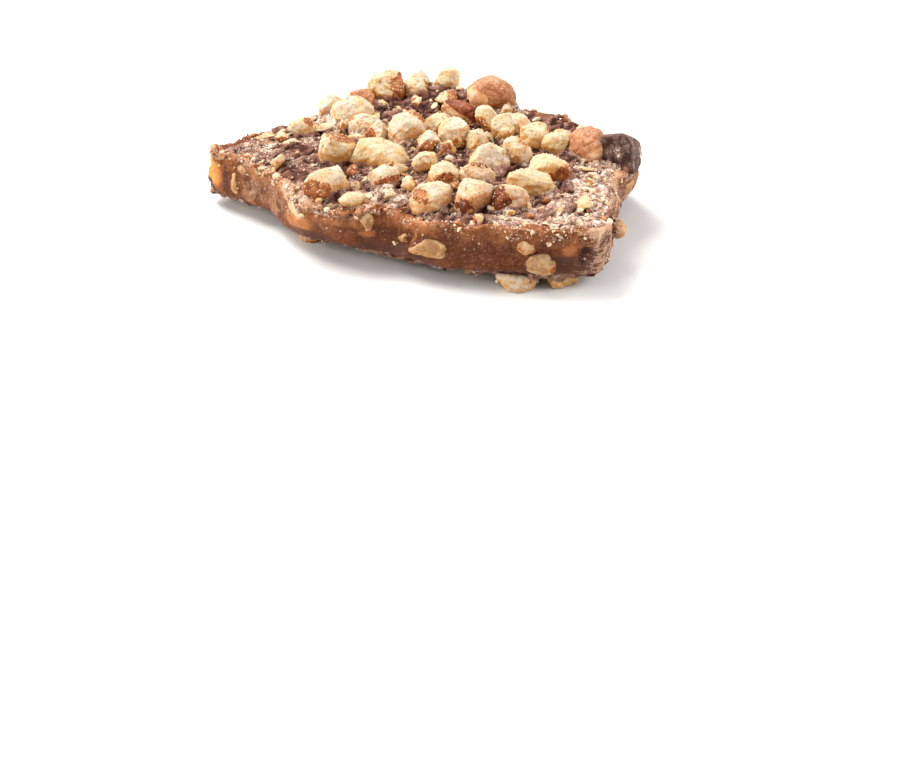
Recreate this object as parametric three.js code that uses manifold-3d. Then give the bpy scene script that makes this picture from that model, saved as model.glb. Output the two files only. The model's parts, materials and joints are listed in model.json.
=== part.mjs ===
// Pecan toffee: one broken shard of butter toffee with a coat of chocolate on both faces and chopped
// pecans pressed into the chocolate. Millimetres, +Z up. The origin lies under the middle of the shard,
// on the surface that its lower pecans rest on; +X is to the right and +Y away from the front side.

import * as THREE from "three";
import { ImprovedNoise } from "three/addons/math/ImprovedNoise.js";
import { mergeVertices } from "three/addons/utils/BufferGeometryUtils.js";
import Module from "manifold-3d";

const wasm = await Module();
wasm.setup();
const noise = new ImprovedNoise();
const { lerp, degToRad, seededRandom } = THREE.MathUtils;

// Levels through the shard. It is a little thicker to the right.
const GAP = 0.3;                 // clearance kept between neighbouring solids
const UNDERSIDE_LEVEL = 2.1;     // lower face of the lower chocolate
const TOFFEE_FOOT_LEVEL = 3.2;   // lower face of the toffee
const TOFFEE_TOP_LEVEL = 9.8;    // upper face of the toffee at the middle
const TOP_LEVEL = 10.8;          // upper face of the upper chocolate at the middle
const THICKENING = 0.02;         // rise of the upper faces for each millimetre to the right

// The broken outline, counter-clockwise from the left tip. Each corner has the place of the upper edge
// and the place of the foot below it, because the break isn't square to the faces.
const OUTLINE = [
  { top: [-34.7, 6.2], foot: [-37.4, 4.8] },    // left tip, back
  { top: [-35.3, 1.6], foot: [-36.6, 1.4] },    // left tip, front
  { top: [-29.3, -1.1], foot: [-29.8, -3.4] },
  { top: [-24.5, -6.7], foot: [-25.9, -6.0] },
  { top: [-23.1, -13.1], foot: [-22.6, -11.4] },  // step in the front side
  { top: [-20.9, -18.3], foot: [-19.4, -15.8] },
  { top: [-13.2, -21.8], foot: [-13.4, -18.4] },
  { top: [-5.7, -21.4], foot: [-5.8, -21.6] },
  { top: [4.6, -26.4], foot: [3.8, -27.0] },
  { top: [22.8, -29.9], foot: [19.6, -29.6] },
  { top: [29.2, -30.1], foot: [29.2, -28.4] },    // front right corner
  { top: [31.1, -26.7], foot: [30.8, -25.0] },
  { top: [31.9, -15.2], foot: [32.3, -15.6] },
  { top: [33.7, -8.7], foot: [33.9, -3.6] },
  { top: [37.0, -3.2], foot: [36.8, 3.6] },       // right corner
  { top: [37.3, 1.0], foot: [35.9, 7.0] },
  { top: [24.3, 14.4], foot: [25.4, 14.6] },
  { top: [17.2, 18.7], foot: [16.4, 20.0] },
  { top: [8.5, 26.0], foot: [9.6, 26.4] },
  { top: [1.4, 30.1], foot: [1.0, 29.8] },        // back corner
  { top: [-3.9, 28.2], foot: [-5.0, 27.6] },
  { top: [-12.5, 22.0], foot: [-12.0, 22.8] },
  { top: [-22.3, 13.2], foot: [-23.6, 13.6] },
];
const COLUMN_STEP = 2.8;         // longest step along the outline
const ROW_STEP = 1.5;            // step up the side
const ROW_LOW = 0.1;             // lowest row of the side's surface, below the lower chocolate
const ROW_COUNT = 10;

// Relief of the broken side and of the chocolate: height of the relief and the span of its waves.
const SCALLOP = { height: 1.3, span: 8 };
const CHIP = { height: 0.8, span: 3.5 };
const SWELL = { height: 1.1, span: 11 };
const LUMP = { height: 1.3, span: 5.5 };
const EDGE_FALL = { depth: 0.7, width: 3 };   // the coat falls off towards the broken side
const MOUND = { at: [0, 20.5], height: 1.2, reach: [9, 4.5] };   // thick chocolate towards the back corner
const COAT_SPAN = 90;            // side of the square block that the coats are cut from
const COAT_CELLS = 24;           // cells along that side that carry the chocolate's relief
const BLOCK_FLOOR = -20;         // well below the shard
const BLOCK_CEILING = 40;        // well above it

// Pecan pieces: a rounded lump with a few flat chopped faces.
const CHOPPED_FACES = 7;
const CHOPPED_NEAREST = 0.56;    // nearest and farthest flat face, as a share of the lump's radius
const CHOPPED_FARTHEST = 0.9;
const PECAN_DIMPLE = 0.1;
const PECAN_SUNK = 0.3;          // share of a piece that is below the chocolate
const FINE_FROM = 8.4;           // pieces at least this wide have the finest facets
const COARSE_UP_TO = 4.1;        // pieces up to this wide have the coarsest

// Large pecan pieces on top: middle of the piece, its width, depth and height above the chocolate, and
// its turn in degrees.
const TOP_PECANS = [
  [-2.5, 5.9, 6.2, 5.6, 4.6, 10],
  [5.9, 4.0, 5.8, 5.2, 3.8, 40],
  [-15.2, -13.5, 8.2, 4.6, 3.8, 36],
  [1.9, -20.2, 6.8, 4.8, 3.4, 8],
  [8.4, -19.6, 6.8, 5.4, 3.8, 38],
  [18.3, -14.0, 8.0, 5.0, 3.2, 4],
  [11.6, -4.6, 7.2, 5.0, 3.4, 24],
  [21.6, -8.6, 7.2, 5.2, 3.2, -8],
  [14.6, -19.4, 6.8, 4.6, 3.2, 20],
  [12.2, 19.6, 8.6, 6.4, 4.2, -22],
  [28.6, -0.8, 6.6, 7.0, 4.4, 50],
  [33.6, -3.0, 7.4, 6.4, 3.8, -24],
  [-6.6, -3.2, 10.6, 4.4, 3.2, -20],
  [-12.0, 14.4, 7.4, 5.2, 3.0, -6],
  [-6.4, 21.8, 6.6, 4.8, 3.4, 14],
  [6.8, 13.4, 7.4, 3.8, 2.8, -26],
  [19.4, 3.2, 5.0, 4.6, 3.6, -30],
  [17.2, 7.4, 4.8, 3.8, 2.8, 10],
  [23.4, 0.2, 5.6, 4.2, 3.0, -4],
  [16.4, -3.0, 4.4, 4.6, 3.6, 64],
  [14.2, 6.6, 4.4, 4.0, 3.2, 80],
  [9.9, 2.8, 3.8, 3.8, 2.8, 0],
  [11.4, 11.2, 4.6, 4.0, 3.2, -40],
  [3.5, 8.6, 4.6, 4.0, 2.8, 25],
  [1.1, 1.6, 4.6, 4.0, 2.8, -35],
  [0.5, -5.6, 4.8, 3.8, 2.6, 34],
  [-7.3, 6.2, 3.8, 3.8, 2.8, 0],
  [-9.8, 10.2, 5.8, 3.6, 2.4, 12],
  [-14.2, -1.2, 5.6, 4.6, 3.4, -38],
  [-6.2, -11.0, 5.4, 3.8, 2.4, -20],
  [4.2, -10.6, 5.6, 4.0, 2.6, 16],
  [9.4, -10.6, 6.2, 4.2, 2.8, -26],
  [-10.2, 18.4, 5.6, 3.8, 2.6, -16],
  [-20.3, 8.4, 4.8, 3.8, 2.2, 30],
  [4.4, 26.8, 4.2, 3.6, 2.6, 20],
  [-0.8, 27.0, 4.4, 3.4, 2.2, -10],
  [-1.0, 22.8, 4.4, 3.6, 2.2, 50],
  [-15.4, 17.0, 4.8, 3.6, 2.2, 35],
];

// Pecan pieces under the shard: two that show below the front side, and the rest spread evenly.
const FRONT_FEET = [
  [15.6, -27.2, 6.4, 4.6, 0],
  [23.4, -26.0, 4.8, 4.0, 10],
];
const SPREAD_FEET = 15;
const FOOT_REACH = 0.86;         // how far out towards the outline the spread goes
const FOOT_WIDTH = [5.2, 8.0];
const FOOT_SLENDERNESS = 0.72;
const FOOT_HEIGHT = 3.4;         // full height of a lump, before its ends are cut flat

// Small pecan bits fused to the chocolate, spread evenly and left out where a large piece lies.
const TOP_BITS = 46;
const UNDER_BITS = 24;
const BIT_WIDTH = [1.7, 3.4];
const BIT_TUCK = 1.5;            // how far a bit may tuck in against a large piece
const BIT_REACH = 0.94;
const GOLDEN_ANGLE = Math.PI * (3 - Math.sqrt(5));

// Pecan bits that show in the broken side, flush with it: middle and size, and one broken-out hollow.
const SIDE_BITS = [
  { at: [-30.8, -0.9, 5.8], size: [2.0, 2.4, 4.0] },
  { at: [-29.3, -1.3, 8.1], size: [1.8, 2.4, 2.2] },
  { at: [-9.8, -20.2, 8.6], size: [3.4, 3.0, 3.6] },
  { at: [1.6, -24.6, 6.2], size: [6.8, 2.8, 3.4] },
  { at: [-2.1, -22.4, 6.9], size: [2.6, 2.4, 1.6] },
  { at: [17.9, -28.6, 8.2], size: [2.8, 2.6, 2.4] },
  { at: [19.6, -28.8, 5.3], size: [5.0, 3.2, 3.8] },
  { at: [32.2, -18.6, 6.2], size: [2.6, 4.6, 3.4] },
  { at: [34.0, -6.0, 7.6], size: [2.6, 3.4, 2.6] },
  { at: [29.6, 10.8, 6.0], size: [4.4, 4.0, 3.2] },
  { at: [13.0, 22.3, 6.6], size: [4.2, 3.6, 3.6] },
  { at: [-8.4, 24.9, 5.6], size: [3.8, 3.4, 3.0] },
  { at: [-17.6, 17.8, 7.4], size: [4.6, 4.2, 2.8] },
  { at: [-28.8, 9.9, 6.0], size: [3.6, 3.2, 3.4] },
];
const SIDE_HOLLOW = { at: [26.9, -30.4, 6.8], size: [3.0, 3.6, 4.4] };

const COLORS = {
  toffee: 0x9b6644,
  chocolate: 0x6b4638,
  flesh: 0xf0d0a0,
  skin: 0xb0683f,
};
// Top pieces that show something other than pale flesh, counted from 1.
const TOP_PECANS_SHOWING = { skin: [5, 9, 10, 11, 16, 30, 33], chocolate: [12] };

/** A closed geometry as a solid that can be joined and cut. */
function toSolid(geometry) {
  geometry.deleteAttribute("normal");
  geometry.deleteAttribute("uv");
  const merged = mergeVertices(geometry);
  return new wasm.Manifold(new wasm.Mesh({
    numProp: 3,
    vertProperties: merged.attributes.position.array,
    triVerts: new Uint32Array(merged.index.array),
  }));
}

/** A solid as a named mesh whose own origin is at the given place. */
function toMesh(name, solid, color, place = [0, 0, 0]) {
  const { vertProperties, triVerts } = solid.getMesh();
  const geometry = new THREE.BufferGeometry();
  geometry.setAttribute("position", new THREE.BufferAttribute(vertProperties, 3));
  geometry.setIndex(new THREE.BufferAttribute(triVerts, 1));
  geometry.translate(...place.map((value) => -value));
  geometry.computeVertexNormals();
  const material = new THREE.MeshStandardMaterial({ color, roughness: 0.6, metalness: 0 });
  const mesh = new THREE.Mesh(geometry, material);
  mesh.name = name;
  mesh.position.set(...place);
  return mesh;
}

/** Smooth relief of one kind at a point, between minus and plus its height. */
function relief({ height, span }, x, y, z) {
  return height * noise.noise(x / span, y / span, z / span);
}

/** Columns up the broken side: pairs of upper edge and foot, no further apart than the column step. */
function sideColumns() {
  const columns = [];
  OUTLINE.forEach((corner, index) => {
    const next = OUTLINE[(index + 1) % OUTLINE.length];
    const length = Math.hypot(next.top[0] - corner.top[0], next.top[1] - corner.top[1]);
    const steps = Math.ceil(length / COLUMN_STEP);
    for (let step = 0; step < steps; step += 1) {
      const share = step / steps;
      columns.push({
        top: corner.top.map((value, axis) => lerp(value, next.top[axis], share)),
        foot: corner.foot.map((value, axis) => lerp(value, next.foot[axis], share)),
      });
    }
  });
  return columns;
}

/** Point of the broken side on one column at a level. */
function sidePoint({ top, foot }, z) {
  const share = (z - UNDERSIDE_LEVEL) / (TOP_LEVEL - UNDERSIDE_LEVEL);
  const [x, y] = top.map((value, axis) => lerp(foot[axis], value, share));
  const out = relief(SCALLOP, x, y, z) + relief(CHIP, x, y, z);
  const push = 1 + out / Math.hypot(x, y);
  return [x * push, y * push, z];
}

/** The broken outline as a tall solid, from below the shard to above it. */
function outlineSolid() {
  const columns = sideColumns();
  const vertices = [];
  for (let row = 0; row < ROW_COUNT; row += 1) {
    const z = ROW_LOW + row * ROW_STEP;
    columns.forEach((column) => vertices.push(...sidePoint(column, z)));
  }
  const lowMiddle = vertices.length / 3;
  vertices.push(0, 0, ROW_LOW);
  vertices.push(0, 0, ROW_LOW + (ROW_COUNT - 1) * ROW_STEP);
  const triangles = [];
  const count = columns.length;
  for (let column = 0; column < count; column += 1) {
    const next = (column + 1) % count;
    triangles.push(lowMiddle, next, column);
    const last = (ROW_COUNT - 1) * count;
    triangles.push(lowMiddle + 1, last + column, last + next);
    for (let row = 0; row < ROW_COUNT - 1; row += 1) {
      const low = row * count;
      const high = low + count;
      triangles.push(low + column, low + next, high + next, low + column, high + next, high + column);
    }
  }
  const geometry = new THREE.BufferGeometry();
  geometry.setAttribute("position", new THREE.Float32BufferAttribute(vertices, 3));
  geometry.setIndex(triangles);
  return toSolid(geometry);
}

/** A square block whose lower and upper faces follow two heights, each flat where it has one cell. */
function block(lowerFace, upperFace, cells = 1) {
  const geometry = new THREE.BoxGeometry(COAT_SPAN, COAT_SPAN, 2, cells, cells, 1);
  const { position } = geometry.attributes;
  for (let i = 0; i < position.count; i += 1) {
    const face = position.getZ(i) > 0 ? upperFace : lowerFace;
    position.setZ(i, face(position.getX(i), position.getY(i)));
  }
  return toSolid(geometry);
}

const toffeeTop = (x) => TOFFEE_TOP_LEVEL + THICKENING * x;

/** How far the coat falls at a place, from nothing inside to its full depth at the outline. */
function edgeFall(edge, x, y) {
  const inside = outlineReach(edge, Math.atan2(y, x)) - Math.hypot(x, y);
  const share = THREE.MathUtils.clamp(1 - inside / EDGE_FALL.width, 0, 1);
  return EDGE_FALL.depth * share * share;
}

/** Height of the upper chocolate. */
function upperCoat(x, y) {
  const [east, north] = MOUND.at;
  const away = ((x - east) / MOUND.reach[0]) ** 2 + ((y - north) / MOUND.reach[1]) ** 2;
  const level = TOP_LEVEL + THICKENING * x + MOUND.height * Math.exp(-away) - edgeFall("top", x, y);
  return level + relief(SWELL, x, y, TOP_LEVEL) / 2 + Math.abs(relief(LUMP, x, y, TOP_LEVEL));
}

/** Height of the lower chocolate's underside. */
function lowerCoat(x, y) {
  return UNDERSIDE_LEVEL + (relief(SWELL, x, y, 0) - Math.abs(relief(LUMP, x, y, 0))) / 2;
}

/** Subdivisions of a lump of a given width. */
function fineness(width) {
  if (width <= COARSE_UP_TO) return 0;
  return width < FINE_FROM ? 1 : 2;
}

/** A chopped pecan lump of a given size about its own middle, made larger all round by a margin. */
function pecanLump({ size, turn = 0, seed }, margin = 0) {
  seededRandom(seed);
  const faces = Array.from({ length: CHOPPED_FACES }, () => ({
    normal: new THREE.Vector3().setFromSphericalCoords(
      1, Math.acos(2 * seededRandom() - 1), 2 * Math.PI * seededRandom()),
    level: lerp(CHOPPED_NEAREST, CHOPPED_FARTHEST, seededRandom()),
  }));
  const geometry = new THREE.IcosahedronGeometry(1, fineness(Math.max(...size)));
  const { position } = geometry.attributes;
  const point = new THREE.Vector3();
  for (let i = 0; i < position.count; i += 1) {
    point.fromBufferAttribute(position, i);
    let reach = 1 + PECAN_DIMPLE * noise.noise(point.x * 2, point.y * 2, point.z * 2 + seed);
    for (const { normal, level } of faces) {
      const facing = point.dot(normal);
      if (facing > level / reach) reach = level / facing;
    }
    position.setXYZ(i, point.x * reach, point.y * reach, point.z * reach);
  }
  geometry.center();
  const extent = geometry.boundingBox.getSize(new THREE.Vector3());
  const [width, depth, height] = size.map((value) => value + 2 * margin);
  geometry.scale(width / extent.x, depth / extent.y, height / extent.z);
  geometry.rotateZ(degToRad(turn));
  return geometry;
}

/** A placed pecan lump as a solid. */
function pecanSolid(piece, margin = 0) {
  return toSolid(pecanLump(piece, margin).translate(...piece.at));
}

/** True where two placed pieces may come closer than a clearance. */
function near(one, other, clearance) {
  const reach = (Math.max(...one.size) + Math.max(...other.size)) / 2 + clearance;
  return Math.hypot(one.at[0] - other.at[0], one.at[1] - other.at[1]) < reach;
}

/** Cuts every piece clear of the small bits, of the pieces before it in the list and of the cutters. */
function cutClear(pieces, smallBits, cutters) {
  return pieces.map((piece, index) => {
    const before = [...smallBits, ...pieces.slice(0, index)].filter((other) => near(piece, other, GAP));
    const solids = [...cutters, ...before.map((other) => pecanSolid(other, GAP))];
    return solids.reduce((left, cutter) => left.subtract(cutter), pecanSolid(piece));
  });
}

/** Distance from the middle to the outline in a direction, for the upper edge or the foot. */
function outlineReach(edge, angle) {
  const ray = new THREE.Vector2(Math.cos(angle), Math.sin(angle));
  let reach = 0;
  OUTLINE.forEach((corner, index) => {
    const from = new THREE.Vector2(...corner[edge]);
    const along = new THREE.Vector2(...OUTLINE[(index + 1) % OUTLINE.length][edge]).sub(from);
    const slant = ray.cross(along);
    const share = ray.cross(from) / -slant;
    if (share >= 0 && share <= 1) reach = Math.max(reach, from.cross(along) / slant);
  });
  return reach;
}

/** Places spread evenly inside the outline, as seeds are in a sunflower. */
function spread(edge, count, farthest) {
  return Array.from({ length: count }, (_, index) => {
    const angle = index * GOLDEN_ANGLE;
    const distance = Math.sqrt((index + 0.5) / count) * farthest * outlineReach(edge, angle);
    return [distance * Math.cos(angle), distance * Math.sin(angle)];
  });
}

/** The large pecan pieces on top. */
function topPecans() {
  return TOP_PECANS.map(([x, y, width, depth, height, turn], index) => {
    const full = height / (1 - PECAN_SUNK);
    const z = upperCoat(x, y) + height - full / 2;
    return { at: [x, y, z], size: [width, depth, full], turn, seed: index + 1 };
  });
}

/** The large pecan pieces under the shard. */
function underPecans() {
  const spreadRows = spread("foot", SPREAD_FEET, FOOT_REACH).map(([x, y], index) => {
    seededRandom(index + 1);
    const width = lerp(...FOOT_WIDTH, seededRandom());
    return [x, y, width, width * FOOT_SLENDERNESS, 360 * seededRandom()];
  });
  return [...FRONT_FEET, ...spreadRows].map(([x, y, width, depth, turn], index) => ({
    at: [x, y, FOOT_HEIGHT / 4],
    size: [width, depth, FOOT_HEIGHT],
    turn,
    seed: TOP_PECANS.length + index + 1,
  }));
}

/** Small pecan bits on a face, clear of the large pieces there. */
function bits(edge, count, height, largePieces) {
  return spread(edge, count, BIT_REACH).map(([x, y], index) => {
    seededRandom(count + index);
    const width = lerp(...BIT_WIDTH, seededRandom());
    const size = [width, width * lerp(0.6, 1, seededRandom()), width * lerp(0.5, 0.8, seededRandom())];
    return { at: [x, y, height(x, y)], size, turn: 360 * seededRandom(), seed: count + index };
  }).filter((bit) => !largePieces.some((piece) => near(bit, piece, -BIT_TUCK)));
}

/** Joins placed bits to the solid that they lie on. */
function withBits(solid, pieces) {
  return pieces.reduce((whole, piece) => whole.add(pecanSolid(piece)), solid);
}

/** The toffee with the bits that show in its broken side and the hollow where one fell out. */
function toffee(outline) {
  const sideBits = SIDE_BITS.map((bit, index) => ({ ...bit, seed: index + 1 }));
  const side = withBits(outline, sideBits).subtract(pecanSolid({ ...SIDE_HOLLOW, seed: 1 }));
  return side.intersect(block(() => TOFFEE_FOOT_LEVEL, toffeeTop));
}

const outline = outlineSolid();
const topPieces = topPecans();
const underPieces = underPecans();
const topBits = bits("top", TOP_BITS, upperCoat, topPieces);
const underBits = bits("foot", UNDER_BITS, lowerCoat, underPieces);

const ground = block(() => BLOCK_FLOOR, () => 0);
const underTheTopCoat = block(() => BLOCK_FLOOR, (x) => toffeeTop(x) + GAP);
const overTheLowerCoat = block(() => TOFFEE_FOOT_LEVEL - GAP, () => BLOCK_CEILING);
const upToTopCoat = block(() => BLOCK_FLOOR, (x, y) => upperCoat(x, y) + GAP, COAT_CELLS);
const fromLowerCoat = block((x, y) => lowerCoat(x, y) - GAP, () => BLOCK_CEILING, COAT_CELLS);

/** The upper chocolate with its small bits. */
function chocolateTop() {
  const coat = outline.intersect(block(() => BLOCK_FLOOR, upperCoat, COAT_CELLS));
  return withBits(coat, topBits).subtract(underTheTopCoat);
}

/** The lower chocolate with its small bits, none of them below the ground. */
function chocolateUnder() {
  const coat = outline.intersect(block(lowerCoat, () => BLOCK_CEILING, COAT_CELLS));
  return withBits(coat, underBits).subtract(overTheLowerCoat).subtract(ground);
}

/** A group with one mesh for each large pecan piece of a face. */
function pecanGroup(name, pieces, smallBits, cutters, showing = {}) {
  const group = new THREE.Group();
  cutClear(pieces, smallBits, cutters).forEach((solid, index) => {
    const number = index + 1;
    const shown = Object.keys(showing).find((key) => showing[key].includes(number)) ?? "flesh";
    group.add(toMesh(`${name}_${String(number).padStart(2, "0")}`, solid, COLORS[shown], pieces[index].at));
  });
  return group;
}

const shard = new THREE.Group();
shard.add(toMesh("toffee", toffee(outline), COLORS.toffee));
shard.add(toMesh("chocolate_top", chocolateTop(), COLORS.chocolate));
shard.add(toMesh("chocolate_under", chocolateUnder(), COLORS.chocolate));
shard.add(pecanGroup("top_pecan", topPieces, topBits, [upToTopCoat], TOP_PECANS_SHOWING));
shard.add(pecanGroup("under_pecan", underPieces, underBits, [fromLowerCoat, ground]));

export default shard;
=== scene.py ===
"""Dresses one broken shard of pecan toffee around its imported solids.

The slab of toffee, its two coats of chocolate and every large pecan piece start from the shape of
their own solid, which is welded, remeshed and carved finer. Small pecan bits, crumbs and dust are
then laid on the finished surfaces. Everything is in metres; sizes are written in millimetres and
multiplied by MM.
"""

import json
import logging
import math
from dataclasses import dataclass, field
from enum import Enum
from typing import Callable, Sequence

import bpy
import numpy as np
from mathutils import Matrix, Vector, noise
from mathutils.bvhtree import BVHTree


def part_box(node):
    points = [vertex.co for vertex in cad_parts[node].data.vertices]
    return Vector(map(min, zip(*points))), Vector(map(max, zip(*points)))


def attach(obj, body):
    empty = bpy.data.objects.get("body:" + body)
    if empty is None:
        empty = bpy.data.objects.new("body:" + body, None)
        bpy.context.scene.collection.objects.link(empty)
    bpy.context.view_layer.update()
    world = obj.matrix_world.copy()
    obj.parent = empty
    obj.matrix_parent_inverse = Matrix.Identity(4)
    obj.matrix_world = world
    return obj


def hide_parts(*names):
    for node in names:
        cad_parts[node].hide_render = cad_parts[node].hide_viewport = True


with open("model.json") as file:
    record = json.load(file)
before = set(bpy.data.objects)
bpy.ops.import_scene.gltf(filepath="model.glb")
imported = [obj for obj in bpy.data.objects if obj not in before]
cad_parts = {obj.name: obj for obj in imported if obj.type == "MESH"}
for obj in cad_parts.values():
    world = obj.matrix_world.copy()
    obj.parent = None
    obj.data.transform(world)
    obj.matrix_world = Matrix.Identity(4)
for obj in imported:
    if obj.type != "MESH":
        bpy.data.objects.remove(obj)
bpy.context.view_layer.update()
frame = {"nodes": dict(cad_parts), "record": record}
SLOTS = {part["node"]: part["material_slot"] for part in frame["record"]["subparts"]}

MM = 0.001
LOG = logging.getLogger("pecan_toffee")
Color = tuple[float, float, float]
Number = "Wire | float"


# ---------------------------------------------------------------- shader building


class Wire:
    """A value on its way through a material's nodes, with the usual arithmetic."""

    def __init__(self, shader: "Shader", socket: bpy.types.NodeSocket) -> None:
        """Wraps an output socket of one of the shader's nodes."""
        self.shader = shader
        self.socket = socket

    def _math(self, operation: str, *operands: Number) -> "Wire":
        """Adds one Math node on the operands."""
        return self.shader.add("ShaderNodeMath", {"operation": operation}, dict(enumerate(operands)))

    def __add__(self, other: Number) -> "Wire":
        """Sum."""
        return self._math("ADD", self, other)

    def __sub__(self, other: Number) -> "Wire":
        """Difference."""
        return self._math("SUBTRACT", self, other)

    def __rsub__(self, other: Number) -> "Wire":
        """Difference from a plain number."""
        return self._math("SUBTRACT", other, self)

    def __mul__(self, other: Number) -> "Wire":
        """Product."""
        return self._math("MULTIPLY", self, other)

    __radd__ = __add__
    __rmul__ = __mul__

    def max(self, other: Number) -> "Wire":
        """The larger of the two."""
        return self._math("MAXIMUM", self, other)

    def rise(self, low: float, high: float) -> "Wire":
        """A smooth step from 0 at low to 1 at high, or the other way round where low is higher."""
        settings = {"interpolation_type": "SMOOTHSTEP"}
        ends = (low, high, 0.0, 1.0) if low < high else (high, low, 1.0, 0.0)
        return self.shader.add("ShaderNodeMapRange", settings, dict(enumerate((self, *ends))))


class Shader:
    """One material under construction."""

    def __init__(self, name: str) -> None:
        """Starts an empty material with its Principled shader.

        Args:
            name: the material's name.
        """
        self.material = bpy.data.materials.new(name)
        self.material.use_nodes = True
        self.tree = self.material.node_tree
        self.principled = self.tree.nodes["Principled BSDF"]
        coordinates = self.tree.nodes.new("ShaderNodeTexCoord")
        self.place = Wire(self, coordinates.outputs["Object"])

    def add(self, kind: str, settings: dict | None = None, inputs: dict | None = None,
            output: int | str = 0) -> Wire:
        """Adds a node.

        Args:
            kind: the node's type.
            settings: its properties, or "stops" for a ramp, set before its sockets.
            inputs: values or wires by socket name or number.
            output: name or number of the socket that is handed on.

        Returns:
            The wire that leaves the node.
        """
        node = self.tree.nodes.new(kind)
        for key, value in (settings or {}).items():
            if key == "stops":
                self._set_stops(node.color_ramp, value)
            else:
                setattr(node, key, value)
        for key, value in (inputs or {}).items():
            if isinstance(value, Wire):
                self.tree.links.new(value.socket, node.inputs[key])
            else:
                node.inputs[key].default_value = value
        return Wire(self, node.outputs[output])

    @staticmethod
    def _set_stops(ramp: bpy.types.ColorRamp, stops: Sequence[tuple[float, Color]]) -> None:
        """Gives a ramp its stops, from first to last."""
        while len(ramp.elements) < len(stops):
            ramp.elements.new(1.0)
        for element, (position, color) in zip(ramp.elements, stops):
            element.position = position
            element.color = (*color, 1.0)

    def noise(self, size: float, detail: float = 3.0, roughness: float = 0.55,
              warp: float = 0.0, squeeze: Color = (1.0, 1.0, 1.0)) -> Wire:
        """Cloudy noise whose blotches have the given size in metres, squeezed along the axes."""
        place = self.place
        if squeeze != (1.0, 1.0, 1.0):
            place = self.add("ShaderNodeMapping", {}, {"Vector": place, "Scale": squeeze})
        inputs = {"Vector": place, "Scale": 1 / size, "Detail": detail,
                  "Roughness": roughness, "Distortion": warp}
        return self.add("ShaderNodeTexNoise", {}, inputs)

    def cells(self, size: float) -> Wire:
        """Distance to the nearest point of a scatter whose points are the given size apart."""
        inputs = {"Vector": self.place, "Scale": 1 / size}
        return self.add("ShaderNodeTexVoronoi", {}, inputs, "Distance")

    def grains(self, size: float) -> Wire:
        """A number from 0 to 1 for each grain of the given size, drawn at random."""
        color = self.add("ShaderNodeTexVoronoi", {}, {"Vector": self.place, "Scale": 1 / size}, "Color")
        return self.add("ShaderNodeSeparateColor", {}, {0: color}, "Red")

    def painted(self, attribute: str) -> Wire:
        """A mask painted on the mesh's points."""
        return self.add("ShaderNodeAttribute", {"attribute_name": attribute}, {}, "Fac")

    def facing_up(self) -> Wire:
        """How far the surface faces up, from -1 to 1."""
        normal = self.add("ShaderNodeNewGeometry", {}, {}, "Normal")
        return self.add("ShaderNodeSeparateXYZ", {}, {0: normal}, "Z")

    def ramp(self, value: Wire, stops: Sequence[tuple[float, Color]]) -> Wire:
        """A colour looked up along a ramp."""
        return self.add("ShaderNodeValToRGB", {"stops": stops}, {"Fac": value})

    def mix(self, share: Number, first: Wire | Color, second: Wire | Color) -> Wire:
        """The first colour, with the second over it by a share."""
        colors = [c if isinstance(c, Wire) else (*c, 1.0) for c in (first, second)]
        return self.add("ShaderNodeMix", {"data_type": "RGBA"},
                        {0: share, 6: colors[0], 7: colors[1]}, 2)

    def finish(self, color: Wire, roughness: Wire, height: Wire, depth: float,
               fixed: dict[str, object]) -> bpy.types.Material:
        """Links what varies, sets what is the same all over, and hands the material on.

        Args:
            color: the base colour.
            roughness: the roughness.
            height: relief from 0 to 1.
            depth: the relief's depth in metres.
            fixed: constant values of the Principled shader by socket name.

        Returns:
            The finished material.
        """
        bump = self.add("ShaderNodeBump", {}, {"Height": height, "Distance": depth, "Strength": 1.0})
        for name, wire in (("Base Color", color), ("Roughness", roughness), ("Normal", bump)):
            self.tree.links.new(wire.socket, self.principled.inputs[name])
        for name, value in fixed.items():
            self.principled.inputs[name].default_value = value
        return self.material


# ---------------------------------------------------------------- finishes


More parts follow.
